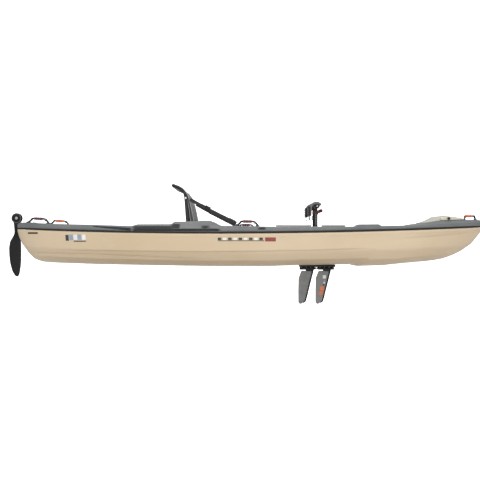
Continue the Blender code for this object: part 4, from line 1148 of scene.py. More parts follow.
def arch_rows(x, half, base, crest, power, columns=49):
    """y = half |cos a|^(2/p), z = base + (crest - base) sin(a)^(2/p), for a from 0 to pi."""
    angle = np.linspace(0.0, math.pi, columns)
    out = np.sign(np.cos(angle)) * np.abs(np.cos(angle)) ** (2 / power)
    up = np.maximum(np.sin(angle), 0.0) ** (2 / power)
    return np.stack([
        np.broadcast_to(x[:, None], (len(x), columns)), half[:, None] * out[None],
        base[:, None] + (crest - base)[:, None] * up[None],
    ], axis=-1)


def end_round(x, aft, fore, run, depth):
    """How far an arch draws in at its ends: depth (1 - sqrt(1 - (1 - t)^2)), t = distance / run."""
    t = np.minimum(x - aft, fore - x) / run
    return depth * (1.0 - quarter_round(t))


FAIRING_AFT = 1.145
FAIRING_FORE = 1.243
fairing_line = np.array([
    (FAIRING_AFT, 0.2960, 0.085), (1.172, 0.3010, 0.106), (1.202, 0.3120, 0.126), (1.228, 0.3255, 0.138),
    (FAIRING_FORE, 0.3320, 0.142),
])
fairing_fine = curve_through(fairing_line, 48)
edge = end_round(fairing_fine[:, 0], FAIRING_AFT, FAIRING_FORE, 0.005, 0.0022)
fairing = surface(
    "bow_dome",
    arch_rows(
        fairing_fine[:, 0], fairing_fine[:, 2] - edge, crown(fairing_fine[:, 0]) + 0.0007,
        fairing_fine[:, 1] - edge, 3.0))
finish_piece(fairing, "hull", PALE_BOW, "fairing_plastic", "bow_fairing")

lid_low, lid_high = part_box("bow_hatch_lid")
lid_line = np.array([
    (lid_low.x, 0.137, 0.3335), (1.264, 0.1360, 0.3378), (1.330, 0.124, 0.3328), (1.398, 0.112, 0.3248),
    (lid_high.x, 0.109, 0.3212),
])
lid_fine = curve_through(lid_line, 60)
edge = end_round(lid_fine[:, 0], lid_low.x, lid_high.x, 0.006, 0.003)
LID_SIDE = moulding(
    "lid_side", (0.60, 0.575, 0.47), (0.70, 0.675, 0.56), (0.42, 0.56), 5.0, 600.0, 0.00012, 0.25)
lid_body = surface(
    "hatch_lid_body",
    arch_rows(
        lid_fine[:, 0], lid_fine[:, 1] - edge, crown(lid_fine[:, 0]) + 0.0036,
        lid_fine[:, 2] - 0.0022 - edge, 5.0))
finish_piece(lid_body, "bow_hatch", LID_SIDE, "lid_plastic", "bow_hatch_lid")
panel = lid_fine[(lid_fine[:, 0] > lid_low.x + 0.004) & (lid_fine[:, 0] < lid_high.x - 0.004)]
reach = np.minimum(panel[:, 0] - panel[0, 0], panel[-1, 0] - panel[:, 0])
round_off = quarter_round(reach / 0.02)
# The raised panel carries the olive painted shade over the lid's centre.
lid_panel = surface("hatch_lid_panel", arch_rows(
    panel[:, 0], (panel[:, 1] - 0.012) * (0.88 + 0.12 * round_off), panel[:, 2] - 0.0085,
    panel[:, 2] - 0.0018 * (1 - round_off), 7.0))
finish_piece(lid_panel, "bow_hatch", OLIVE_SHADE, "lid_plastic")
for side_name, y in (("port", 0.055), ("starboard", -0.055)):
    barrel = turned_piece(
        f"lid_hinge_{side_name}",
        [
            (-0.020, 0.0), (-0.020, 0.0040), (-0.0188, 0.0048), (0.0188, 0.0048), (0.020, 0.0040),
            (0.020, 0.0)],
        (lid_high.x + 0.004, y, 0.3165), (0, 1, 0), 24)
    finish_piece(barrel, "hull", BLACK, "black_plastic")

gasket_corners = np.array([(1.257, -0.123), (1.403, -0.0955), (1.403, 0.0955), (1.257, 0.123)])
gasket_xy = curve_through(
    np.repeat(gasket_corners, 2, axis=0) + 0.016 * np.array(
        [(0, 1), (1, 0), (-1, 0), (0, 1), (0, -1), (-1, 0), (1, 0), (0, -1)]),
    140, closed=True)
gasket_path = np.concatenate(
    [gasket_xy, (crown(1.33) + 0.0018 + 0.0435 * (gasket_xy[:, :1] - 1.33))], axis=1)
gasket_ring = bar(
    "hatch_seal", gasket_path, rounded_section(0.0095, 0.0024, 0.0011), (0, 0, 1), closed=True)
finish_piece(gasket_ring, "hull", BLACK_RUBBER, "seam_rubber", "hatch_gasket")

latch_low, latch_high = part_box("hatch_latch")
latch_middle = np.array([(latch_low.x + latch_high.x) / 2, latch_high.y, 0.3185])
dial = turned_piece(
    "latch_dial",
    [
        (0.0, 0.0), (0.0, 0.0086), (0.0018, 0.0090), (0.0040, 0.0080), (0.0056, 0.0070), (0.0060, 0.0050),
        (0.0056, 0.0)],
    latch_middle, (0, -1, 0), 32)
finish_piece(dial, "hatch_catch", BLACK, "black_plastic", "hatch_latch")
wing = rounded_block("latch_wing", (1.288, latch_middle[1] - 0.0090, 0.3162),
                     (1.312, latch_middle[1] - 0.0035, 0.3208), 0.0018)
finish_piece(wing, "hatch_catch", BLACK, "black_plastic")
print("bow pieces done")

# %% [markdown]
# ## Carry handles
# Each handle is a flat rubber strap that stands in an arch on two screwed feet, with a moulded
# grip round its straight top and a ring at the forward end for a bungee cord. The arch is a
# smooth curve through a few heights; the grip's radius swells between the fingers.

# %% Handles
HANDLES = [
    ("side_port", -0.108, 0.019, 0.402, 0.2630, 0.2614, MAROON, "grip_maroon"),
    ("side_starboard", -0.108, 0.019, -0.402, 0.2630, 0.2614, MAROON, "grip_maroon"),
    # The stern grips are twins painted as two copies: the orange of the far, port grip is painted light from
    # above, the maroon of the near, starboard grip is painted shade.
    ("stern_port", -1.463, -1.335, 0.222, 0.2894, 0.2828, ORANGE, "grip_orange"),
    ("stern_starboard", -1.463, -1.335, -0.222, 0.2894, 0.2828, MAROON, "grip_maroon"),
    ("bow", 1.4515, 1.5285, 0.0, 0.3120, 0.3120, ORANGE, "grip_orange"),
]
HANDLE_RISE = 0.0275
STRAP_RADIUS = 0.0042


def make_handle(name, aft, fore, side, aft_foot, fore_foot, grip_finish, grip_slot):
    """The arch rises from its feet over a short run at each end, on a base line between the feet."""
    run = 0.030 if side else 0.010
    slope = (fore_foot - aft_foot) / (fore - aft)
    arch = np.array([
        (aft, STRAP_RADIUS), (aft + 0.35 * run, 0.35 * HANDLE_RISE), (aft + 0.8 * run, 0.85 * HANDLE_RISE),
        (aft + run, HANDLE_RISE), (fore - run, HANDLE_RISE), (fore - 0.55 * run, 0.82 * HANDLE_RISE),
        (fore - 0.15 * run, 0.45 * HANDLE_RISE), (fore, STRAP_RADIUS),
    ])
    fine = curve_through(arch, 70)
    height = aft_foot + slope * (fine[:, 0] - aft) + np.minimum(fine[:, 1], HANDLE_RISE)
    path = np.stack([fine[:, 0], np.full(70, side), height], axis=1)
    strap = bar(f"strap_of_{name}_handle", path, rounded_section(0.0116, 0.0120, 0.0050), (0, 1, 0))
    finish_piece(strap, "hull", BLACK_RUBBER, "handle_rubber", f"handle_strap_{name}")
    top_length = fore - aft - 2 * run
    grip_length = min(0.062, 0.92 * top_length)
    start = aft + run + (0.5 if side else 0.36) * top_length - grip_length / 2
    along = np.linspace(0.0, 1.0, 44)
    ends = np.minimum(along, 1 - along) * grip_length / 0.006
    swell = 0.0088 + 0.0006 * np.cos(2 * math.pi * 4 * along)
    swell = swell * quarter_round(ends, 0.25)
    grip_x = start + along * grip_length
    grip_path = np.stack(
        [grip_x, np.full(44, side), aft_foot + slope * (grip_x - aft) + HANDLE_RISE], axis=1)
    grip = bar(f"grip_of_{name}_handle", grip_path, circle(1.0, 28)[None] * swell[:, None, None], (0, 1, 0))
    finish_piece(grip, "hull", grip_finish, grip_slot, f"handle_grip_{name}")
    for end_name, x, foot in (("aft", aft, aft_foot), ("fore", fore, fore_foot)):
        top = foot + 0.0050
        deck_z = float(soften(GUNWALE_LINE, x, RAIL_SOFT)) if side else float(crown(x))
        pad = rounded_block(
            f"foot_{end_name}_of_{name}_handle", (x - 0.0115, side - 0.0088, deck_z - 0.0012),
            (x + 0.0115, side + 0.0088, top), 0.0028)
        finish_piece(pad, "hull", BLACK, "handle_rubber")
        outer = x - 0.0075 if end_name == "aft" else x + 0.0075
        screw = turned_piece(f"screw_{end_name}_of_{name}_handle",
                             [(0.0, 0.0), (0.0, 0.0030), (0.0012, 0.0027), (0.0018, 0.0014), (0.0014, 0.0)],
                             (outer, side, top - 0.0002), (0, 0, 1), 18)
        finish_piece(screw, "hull", STEEL, "steel")
    if side:
        ring_middle = path[58]
        direction = unit(path[60] - path[56])
        lean = np.cross(direction, (0.0, 1.0, 0.0))
        turn = np.linspace(0.0, 2 * math.pi, 36, endpoint=False)
        loop = ring_middle + 0.0105 * (
            np.cos(turn)[:, None] * lean + np.sin(turn)[:, None] * np.array([0.0, 1.0, 0.0]))
        ring = bar(f"ring_of_{name}_handle", loop, circle(0.0022, 12), direction, closed=True)
        finish_piece(ring, "hull", RING_GREY, "fin_plastic")


RING_GREY = moulding(
    "ring_grey", (0.20, 0.205, 0.19), (0.30, 0.30, 0.28), (0.4, 0.5), 12.0, 900.0, 0.00008, 0.2)
for handle in HANDLES:
    make_handle(*handle)
print("handles done")

# %% [markdown]
# ## The rudder
# The rudder hangs from a pin in a bracket. A yoke turns on the pin to steer, and the blade
# swings up in the yoke when it strikes the ground. The blade is a foil: its outline sets the
# chord at each height, and the thickness follows the square root of a sine across the chord.

# %% Rudder blade
YAW_X = -1.5975
HUB = np.array([-1.623, 0.0, 0.3245])
CHEEK_SPAN = (0.0073, 0.0115)
CHEEK_RADIUS = 0.035
RIM_RADIUS = 0.0305


def foil(name, heights, aft_line, fore_line, half_line, columns=30, lean=0.5):
    """A foil: x runs from the aft to the fore edge by (1 - cos a) / 2, and
    y = half thickness x sin(a) ^ lean on both faces."""
    aft, fore, half = (read_line(line, heights) for line in (aft_line, fore_line, half_line))
    kernel = np.array([1.0, 2.0, 3.0, 2.0, 1.0]) / 9.0
    aft, fore = (np.convolve(np.pad(line, 2, mode="edge"), kernel, mode="valid") for line in (aft, fore))
    angle = np.linspace(0.0, 2 * math.pi, 2 * columns, endpoint=False)
    across = (1 - np.cos(angle)) / 2
    bulge = np.sign(np.sin(angle)) * np.abs(np.sin(angle)) ** lean
    x = aft[:, None] + (fore - aft)[:, None] * across[None]
    y = half[:, None] * bulge[None]
    z = np.broadcast_to(heights[:, None], x.shape)
    return surface(name, np.stack([x, y, z], axis=-1), smooth_angle=60.0)


blade_heights = np.concatenate(
    [np.linspace(0.300, -0.050, 90), -0.050 - 0.0258 * np.sin(np.linspace(0, 1.5, 14)[1:])])
blade = foil(
    "rudder_foil", blade_heights,
    [
        (0.300, -1.641), (0.218, -1.641), (0.190, -1.656), (0.165, -1.671), (0.120, -1.678),
        (0.070, -1.676), (0.020, -1.671), (-0.038, -1.656), (-0.064, -1.641), (-0.0758, -1.6285)],
    [
        (0.300, -1.6085), (0.236, -1.6080), (0.222, -1.6000), (0.165, -1.5960), (0.106, -1.594),
        (0.027, -1.595), (-0.010, -1.598), (-0.052, -1.6045), (-0.070, -1.6110), (-0.0758, -1.6180)],
    [(0.300, 0.0056), (0.210, 0.0056), (0.120, 0.0062), (0.0, 0.0048), (-0.060, 0.0030), (-0.0758, 0.0012)])
finish_piece(blade, "rudder_foil", RUDDER_BLACK, "rudder_plastic", "rudder_blade")
hub_disc = turned_piece(
    "rudder_hub",
    [
        (-0.0066, 0.0), (-0.0066, 0.0290), (-0.0056, 0.0300), (0.0056, 0.0300), (0.0066, 0.0290),
        (0.0066, 0.0)],
    HUB, (0, 1, 0), 56)
finish_piece(hub_disc, "rudder_foil", RUDDER_BLACK, "rudder_plastic")
for number, x in enumerate(np.linspace(-1.6345, -1.6145, 4)):
    for side in (-1, 1):
        rib = side_block(
            f"blade_rib_{number}_{'port' if side > 0 else 'starboard'}", side, (x - 0.0011, x + 0.0011),
            (0.0045, 0.0068), (0.190 + 0.004 * number, 0.236), 0.0009, 2)
        finish_piece(rib, "rudder_foil", RUDDER_BLACK, "rudder_plastic")

# %% Yoke, pin and bracket
cheek_outline = np.concatenate(
    [
        [
            (HUB[0] - 0.014, 0.2415), (YAW_X - 0.003, 0.2415), (YAW_X - 0.003, 0.2885), (-1.6082, 0.2895),
            (-1.6082, 0.2965)],
        arc_points((HUB[0], HUB[2]), CHEEK_RADIUS, -50, 228, 44), [(HUB[0] - 0.019, 0.292)]])
for side_name, side in SIDES:
    cheek = side_plate(f"yoke_cheek_{side_name}", cheek_outline, side, CHEEK_SPAN, 0.0012)
    finish_piece(
        cheek, "rudder_head", RUDDER_BLACK, "rudder_plastic", *(["rudder_yoke"] if side > 0 else []))
    turn = np.linspace(0.0, 2 * math.pi, 72, endpoint=False)
    rim_path = np.stack(
        [
            HUB[0] + RIM_RADIUS * np.cos(turn), np.full(72, side * 0.0118),
            HUB[2] + RIM_RADIUS * np.sin(turn)],
        axis=1)
    rim = bar(f"yoke_rim_{side_name}", rim_path, circle(0.0020, 12), (0, 1, 0), closed=True)
    finish_piece(rim, "rudder_head", PEDAL_GREY, "rudder_plastic")
    for number in range(3):
        x = HUB[0] + 0.002 + 0.0065 * number
        rib = side_block(
            f"yoke_rib_{number}_{side_name}", side, (x - 0.0011, x + 0.0011), (0.0105, 0.0132),
            (0.2440, 0.2860), 0.0009, 2)
        finish_piece(rib, "rudder_head", RUDDER_BLACK, "rudder_plastic")
sleeve = turned_piece(
    "yoke_sleeve",
    [
        (0.2418, 0.0034), (0.2418, 0.0058), (0.2430, 0.0064), (0.2872, 0.0064), (0.2884, 0.0058),
        (0.2884, 0.0034)],
    (YAW_X, 0, 0), (0, 0, 1), 32)
finish_piece(sleeve, "rudder_head", RUDDER_BLACK, "rudder_plastic")
bridge = rounded_block("yoke_bridge", (-1.6055, -0.0080, 0.2420), (-1.6012, 0.0080, 0.2885), 0.0012, 2)
finish_piece(bridge, "rudder_head", RUDDER_BLACK, "rudder_plastic")
bolt = turned_piece(
    "kick_up_bolt",
    [
        (-0.0160, 0.0), (-0.0160, 0.0070), (-0.0150, 0.0080), (-0.0122, 0.0080), (-0.0122, 0.0050),
        (0.0122, 0.0050), (0.0122, 0.0092), (0.0138, 0.0092), (0.0146, 0.0074), (0.0172, 0.0066),
        (0.0178, 0.0056), (0.0170, 0.0)],
    HUB, (0, -1, 0), 36)
finish_piece(bolt, "rudder_head", STEEL, "steel", "rudder_pivot_bolt")
bracket_outline = np.concatenate([
    [(-1.490, 0.022), (-1.572, 0.022), (-1.582, 0.008)], arc_points((YAW_X, 0), 0.008, 90, 270, 24),
    [(-1.582, -0.008), (-1.572, -0.022), (-1.490, -0.022)],
])
bracket = plate("rudder_strap", bracket_outline, 0.2908, 0.2946, 0.0012, normal="z")
finish_piece(bracket, "hull", BLACK, "black_plastic", "rudder_bracket")
for number, (x, y) in enumerate(((-1.505, 0.012), (-1.505, -0.012), (-1.555, 0.012), (-1.555, -0.012))):
    screw = turned_piece(
        f"bracket_screw_{number}",
        [(0.2946, 0.0), (0.2946, 0.0040), (0.2962, 0.0036), (0.2970, 0.0020), (0.2966, 0.0)], (x, y, 0),
        (0, 0, 1), 20)
    finish_piece(screw, "hull", STEEL, "steel")
recoat("rudder_pintle", STEEL)
print("rudder done")

# %% [markdown]
# ## The steering lever
# A hand lever beside the seat turns the rudder. The lever is a tapered bar with an oval section
# and a knob, on a post that stands on the cockpit floor.

# %% Steering lever
POST = np.array([0.060, 0.225])
lever_x = POST[0] + np.linspace(-0.0118, 0.1000, 60)
share = np.linspace(0.0, 1.0, 60)
nose = quarter_round(np.minimum(share, 1 - share) / 0.09, 0.02)
lever_half = nose * np.interp(share, [0.0, 0.12, 0.35, 0.8, 1.0], [0.0115, 0.0120, 0.0082, 0.0088, 0.0090])
lever_path = np.stack([lever_x, np.full(60, POST[1]), np.full(60, 0.1900)], axis=1)
lever_section = rounded_section(2.0, 2.0, 0.7, 5)[None] * np.stack(
    [lever_half, np.full(60, 0.0046) * np.sqrt(nose)], axis=1)[:, None]
lever = bar("steering_handle", lever_path, lever_section, (0, 0, 1))
finish_piece(lever, "steering_hand", BLACK, "black_plastic", "steering_lever")
knob = turned_piece(
    "steering_knob",
    [
        (0.193, 0.0), (0.193, 0.0062), (0.199, 0.0058), (0.206, 0.0082), (0.214, 0.0100), (0.2195, 0.0094),
        (0.2222, 0.0060), (0.2228, 0.0)],
    (POST[0] + 0.09, POST[1], 0), (0, 0, 1), 40, flutes=8, flute_depth=0.06)
finish_piece(knob, "steering_hand", MAROON, "grip_maroon")
post = turned_piece(
    "steering_pedestal",
    [
        (SEAT_FLOOR + 0.0004, 0.0), (SEAT_FLOOR + 0.0004, 0.0300), (0.1390, 0.0300), (0.1410, 0.0285),
        (0.1600, 0.0270), (0.1780, 0.0255), (0.1835, 0.0238), (0.1850, 0.0215), (0.1850, 0.0058),
        (0.1985, 0.0058), (0.2010, 0.0045), (0.2012, 0.0)],
    (POST[0], POST[1], 0), (0, 0, 1), 48)
finish_piece(post, "hull", BLACK, "black_plastic", "steering_post")

# %% [markdown]
# ## The pedal drive
# A flat unit drops into the well: a base plate under the hull, an upright case in two halves,
# one axle for both cranks, and two chains that carry the cranks' swing down to the fin shaft.
# The case's halves are screwed together along a flanged edge.

# %% Drive case, caps and shafts
AXLE = np.array([0.427, 0.0, 0.236])
FIN_AXIS = -0.0193
COVER_SPAN = (0.0262, 0.0295)
for side_name, side in SIDES:
    outline = rounded_section(0.214, 0.046, 0.010, 6) + np.array([0.440, 0.2345])
    cover = side_plate(f"drive_cover_{side_name}", outline, side, COVER_SPAN, 0.0014)
    finish_piece(cover, "hull", BLACK, "black_plastic")
    for number, (x, z) in enumerate(((0.345, 0.248), (0.345, 0.220), (0.535, 0.248), (0.535, 0.220))):
        screw = turned_piece(
            f"cover_screw_{side_name}_{number}",
            [(0.0286, 0.0), (0.0286, 0.0036), (0.0306, 0.0030), (0.0310, 0.0014), (0.0306, 0.0)],
            (x, 0.0, z), (0, side, 0), 18)
        finish_piece(screw, "hull", STEEL, "steel")
    boss = turned_piece(
        f"axle_boss_{side_name}",
        [(0.0285, 0.0118), (0.0285, 0.0190), (0.0312, 0.0180), (0.0318, 0.0165), (0.0318, 0.0118)], AXLE,
        (0, side, 0), 48)
    finish_piece(boss, "hull", BLACK, "black_plastic")
cap = rounded_block("drive_case_cap", (0.331, -0.0305, 0.2545), (0.549, 0.0305, 0.2620), 0.0028)
finish_piece(cap, "hull", BLACK, "black_plastic")
for node, material in (
    ("drive_case_port", BLACK), ("drive_case_starboard", BLACK), ("drive_base_plate", BLACK),
    ("drive_well_liner", GREY_DECK), ("fin_shaft", STEEL), ("crank_axle", STEEL),
    ("drive_chain_rear", CHAIN_STEEL), ("drive_chain_front", CHAIN_STEEL), ("crank_drum_port", STEEL),
    ("crank_drum_starboard", STEEL)):
    recoat(node, material)
for number, x in enumerate(np.linspace(0.330, 0.550, 8)):
    for side in (-1, 1):
        bolt = turned_piece(f"base_bolt_{number}_{'port' if side > 0 else 'starboard'}",
                            [(-0.009, 0.0), (-0.009, 0.0028), (-0.0112, 0.0024), (-0.0116, 0.0)],
                            (x, side * 0.039, 0.0), (0, 0, 1), 12)
        finish_piece(bolt, "hull", STEEL, "steel")

# %% [markdown]
# ## Cranks and pedals
# Each crank arm swings fore and aft; a spring pin with a fluted knob sets its length. A pedal is
# a curved plate that wraps over the toes, with an upright plate behind the heel, bars across its
# tread and a strap behind.

# %% Cranks and pedals
SPINDLE = np.array([0.424, 0.0, 0.400])
ARM_SPAN = (0.0330, 0.0452)
INLAY_SPAN = (0.0448, 0.0462)
PEDAL_SPAN = (0.052, 0.147)
pedal_curve = np.array(
    [
        (0.375, 0.338), (0.380, 0.334), (0.3850, 0.338), (0.3868, 0.372), (0.3895, 0.394), (0.399, 0.407),
        (0.414, 0.4125), (0.432, 0.412), (0.446, 0.404), (0.4505, 0.409), (0.449, 0.416), (0.441, 0.424),
        (0.424, 0.430), (0.404, 0.428), (0.388, 0.418), (0.377, 0.402), (0.373, 0.370)])
for side_name, side in SIDES:
    crank, foot = f"crank_{side_name}", f"foot_{side_name}"
    arm_outline = np.concatenate([
        arc_points((AXLE[0], AXLE[2]), 0.020, 145, 395, 40),
        curve_through([(0.4400, 0.2560), (0.4390, 0.2720), (0.4388, 0.330), (0.4386, 0.392)], 14),
        arc_points((SPINDLE[0], SPINDLE[2]), 0.0115, 10, 170, 20),
        curve_through([(0.4152, 0.390), (0.4152, 0.330), (0.4152, 0.2720), (0.4140, 0.2560)], 14),
    ])
    arm = side_plate(f"arm_{side_name}", arm_outline, side, ARM_SPAN, 0.0022)
    finish_piece(arm, crank, BLACK, "black_plastic", f"crank_arm_{side_name}")
    inlay = side_plate(
        f"arm_inlay_{side_name}", rounded_section(0.0085, 0.088, 0.0042, 8) + np.array([0.4270, 0.318]),
        side, INLAY_SPAN, 0.0005)
    finish_piece(inlay, crank, PEDAL_GREY, "fin_plastic")
    collar = side_block(
        f"arm_collar_{side_name}", side, (0.4135, 0.4450), (0.0322, 0.0475), (0.3500, 0.3750), 0.0040)
    finish_piece(collar, crank, MAROON, "grip_maroon")
    for number in range(6):
        tick = side_block(
            f"arm_mark_{side_name}_{number}", side, (0.4245, 0.4295), (0.0455, 0.0468),
            (0.284 + 0.013 * number, 0.2856 + 0.013 * number), 0.0004, 2)
        finish_piece(tick, crank, BADGE_WHITE, "fin_plastic")
    hub = turned_piece(
        f"arm_hub_{side_name}",
        [
            (0.0320, 0.0), (0.0320, 0.0150), (0.0470, 0.0150), (0.0490, 0.0138), (0.0495, 0.0080),
            (0.0502, 0.0060), (0.0505, 0.0)],
        AXLE, (0, side, 0), 40)
    finish_piece(hub, crank, STEEL, "steel")
    spindle = turned_piece(
        f"arm_spindle_{side_name}",
        [(0.042, 0.0), (0.042, 0.0050), (0.1485, 0.0050), (0.1500, 0.0042), (0.1505, 0.0)], SPINDLE,
        (0, side, 0), 28)
    finish_piece(spindle, crank, STEEL, "steel")
    shell = side_plate(
        f"pedal_body_{side_name}", curve_through(pedal_curve, 120, closed=True), side, PEDAL_SPAN, 0.0032)
    finish_piece(shell, foot, PEDAL_GREY, "fin_plastic", f"pedal_{side_name}")
    tube_piece = turned_piece(
        f"pedal_barrel_{side_name}",
        [
            (0.0532, 0.0054), (0.0532, 0.0140), (0.0550, 0.0155), (0.1440, 0.0155), (0.1458, 0.0140),
            (0.1458, 0.0054)],
        SPINDLE, (0, side, 0), 36)
    finish_piece(tube_piece, foot, BLACK, "fin_plastic")
    heel = side_block(
        f"heel_plate_{side_name}", side, (0.3715, 0.3800), (0.0505, 0.1485), (0.3330, 0.4000), 0.0035)
    finish_piece(heel, foot, BLACK, "fin_plastic")
    for number in range(5):
        z = 0.344 + 0.0125 * number
        tread = side_block(
            f"pedal_tread_{side_name}_{number}", side, (0.3680, 0.3715), (0.058, 0.141), (z, z + 0.0048),
            0.0013, 2)
        finish_piece(tread, foot, BLACK_RUBBER, "fin_plastic")
    strap_path = curve_through(
        [
            (0.3950, side * 0.100, 0.335), (0.3975, side * 0.100, 0.318), (0.3880, side * 0.100, 0.3085),
            (0.3780, side * 0.100, 0.314), (0.3768, side * 0.100, 0.334)],
        40)
    toe_strap = bar(
        f"pedal_strap_{side_name}", strap_path, rounded_section(0.0026, 0.026, 0.0011), (0, side, 0))
    finish_piece(toe_strap, foot, WEBBING, "webbing")
    slant = math.radians(30)
    knob = turned_piece(
        f"pin_knob_{side_name}",
        [
            (0.0, 0.0), (0.0, 0.0045), (0.006, 0.0070), (0.014, 0.0085), (0.020, 0.0105), (0.026, 0.0120),
            (0.031, 0.0112), (0.034, 0.0090), (0.036, 0.0)],
        (0.4411, side * 0.0392, 0.3620), (math.cos(slant), 0, math.sin(slant)), 48, flutes=10,
        flute_depth=0.10)
    finish_piece(knob, f"leg_pin_{side_name}", MAROON, "grip_maroon", f"arm_adjuster_{side_name}")
print("drive, cranks and pedals done")

# %% [markdown]
# ## The fins
# A fin is a soft blade behind a stiff mast: the mast swings from side to side and the blade's
# trailing edge lags, which drives the boat forward. The blade is a thin foil between its
# trailing edge and the mast, stiffened by a few battens.

# %% Fins
FRONT_SHIFT = 0.118
for name, shift, hub_aft, hub_fore in (
    ("rear", 0.0, 0.3295, 0.4240), ("front", FRONT_SHIFT, 0.4475, 0.5460)):
    body = f"fin_{name}"
    lead = curve_through(
        np.array(
            [
                (0.4130 + shift, 0, -0.020), (0.4100 + shift, 0, -0.042), (0.3860 + shift, 0, -0.139),
                (0.3625 + shift, 0, -0.234), (0.3560 + shift, 0, -0.247), (0.3440 + shift, 0, -0.2565)]),
        60)
    share = np.linspace(0.0, 1.0, 60)
    thick = np.interp(share, [0.0, 0.15, 0.8, 0.97, 1.0], [0.0064, 0.0060, 0.0056, 0.0046, 0.0020])
    mast = bar(f"mast_{name}", lead, circle(1.0, 24)[None] * thick[:, None, None], (0, 1, 0))
    finish_piece(mast, body, BLACK, "black_plastic", f"fin_mast_{name}")
    sleeve = turned_piece(
        f"fin_hub_{name}",
        [
            (hub_aft, 0.0034), (hub_aft, 0.0090), (hub_aft + 0.002, 0.0102), (hub_fore - 0.002, 0.0102),
            (hub_fore, 0.0090), (hub_fore, 0.0034)],
        (0, 0, FIN_AXIS), (1, 0, 0), 40)
    finish_piece(sleeve, body, BLACK, "black_plastic")
    teeth_aft, teeth_fore = (0.4245, 0.4330) if name == "rear" else (0.4385, 0.4470)
    sprocket = turned_piece(
        f"fin_sprocket_{name}",
        [(teeth_aft, 0.0034), (teeth_aft, 0.0066), (teeth_fore, 0.0066), (teeth_fore, 0.0034)],
        (0, 0, FIN_AXIS), (1, 0, 0), 36, flutes=12, flute_depth=0.12)
    finish_piece(sprocket, body, BLACK, "black_plastic")
    z = np.concatenate(
        [np.linspace(-0.0360, -0.2560, 100), -0.2560 - 0.0080 * np.sin(np.linspace(0, 1.45, 10)[1:])])
    panel = foil(f"blade_{name}", z,
                 [(-0.036, 0.334 + shift), (-0.060, 0.3235 + shift), (-0.087, 0.3135 + shift),
                  (-0.170, 0.3115 + shift), (-0.250, 0.3120 + shift), (-0.2600, 0.3160 + shift),
                  (-0.264, 0.3240 + shift)],
                 [(-0.036, 0.4085 + shift), (-0.042, 0.4080 + shift), (-0.234, 0.3600 + shift),
                  (-0.247, 0.3530 + shift), (-0.2565, 0.3430 + shift), (-0.264, 0.3310 + shift)],
                 [(-0.036, 0.0038), (-0.150, 0.0036), (-0.250, 0.0028), (-0.264, 0.0012)], lean=0.6)
    finish_piece(panel, body, FIN_GREY, "fin_plastic", f"fin_blade_{name}")
    for number, height in enumerate((-0.095, -0.145, -0.195, -0.238)):
        front = float(np.interp(-height, [0.042, 0.234, 0.264], [0.4030, 0.3550, 0.3330])) + shift
        aft = front - (0.036 if number < 3 else 0.022)
        run = np.linspace((aft, 0.0, height + 0.006), (front, 0.0, height), 12)
        batten = bar(f"batten_{name}_{number}", run, rounded_section(0.0090, 0.0030, 0.0014), (0, 0, 1))
        finish_piece(batten, body, FIN_GREY, "fin_plastic")
    neck_low, neck_high = (0.3640 + shift, -0.0072, -0.0400), (0.4140 + shift, 0.0072, -0.0205)
    neck = rounded_block(f"fin_neck_{name}", neck_low, neck_high, 0.0030, 3)
    finish_piece(neck, body, BLACK, "black_plastic")
print("fins done")

# %% [markdown]
# ## The seat
# The seat is a bent tube frame with a foam cushion and a padded back that folds forward. The
# cushions are filled with air in a cloth simulation: the block is remeshed evenly, blown up a
# little with pressure, and its bulge is capped, then the seams are pressed in.

# %% Padded pieces
AIR_FRAMES = 20
FRAME_TUBE = 0.0105
LUG_SPAN = (0.2460, 0.2504)
SEAM_WIDTH = 0.007
SEAM_DEPTH = 0.0045
HOLLOW_DEPTH = 0.004
CHANNEL_DEPTH = 0.0040


def inflate(piece, swell, voxel=0.006, pressure=4.0):
    """Remesh a block evenly, blow it up with a short cloth run, and cap how far it moves."""
    mesher = piece.modifiers.new("even", "REMESH")
    mesher.mode = "VOXEL"
    mesher.voxel_size = voxel
    settle(piece)
    piece.data.shade_smooth()
    scene = bpy.context.scene
    before = np.empty(len(piece.data.vertices) * 3)
    piece.data.vertices.foreach_get("co", before)
    blown = piece.modifiers.new("air", "CLOTH")
    blown.settings.use_pressure = True
    blown.settings.uniform_pressure_force = pressure
    blown.settings.effector_weights.gravity = 0.0
    blown.settings.quality = 6
    blown.collision_settings.use_collision = False
    blown.point_cache.frame_start = 1
    blown.point_cache.frame_end = AIR_FRAMES
    for step in range(1, AIR_FRAMES + 1):
        scene.frame_set(step)
    graph = bpy.context.evaluated_depsgraph_get()
    result = piece.evaluated_get(graph)
    after = np.empty(len(piece.data.vertices) * 3)
    result.data.vertices.foreach_get("co", after)
    move = (after - before).reshape(-1, 3)
    length = np.linalg.norm(move, axis=1, keepdims=True)
    move *= np.minimum(1.0, swell / np.maximum(length, 1e-9))
    piece.modifiers.clear()
    piece.data.vertices.foreach_set("co", (before.reshape(-1, 3) + move).ravel())
    piece.data.update()
    scene.frame_set(1)
    return piece


def reshape(piece, change):
    """Move a mesh's points by a function of their positions."""
    points = np.empty(len(piece.data.vertices) * 3)
    piece.data.vertices.foreach_get("co", points)
    piece.data.vertices.foreach_set("co", change(points.reshape(-1, 3)).ravel())
    piece.data.update()


def subdivide(piece):
    """One level of smooth subdivision, made part of the mesh."""
    finer = piece.modifiers.new("finer", "SUBSURF")
    finer.levels = 1
    finer.render_levels = 1
    settle(piece)
    piece.data.shade_smooth()
    return piece


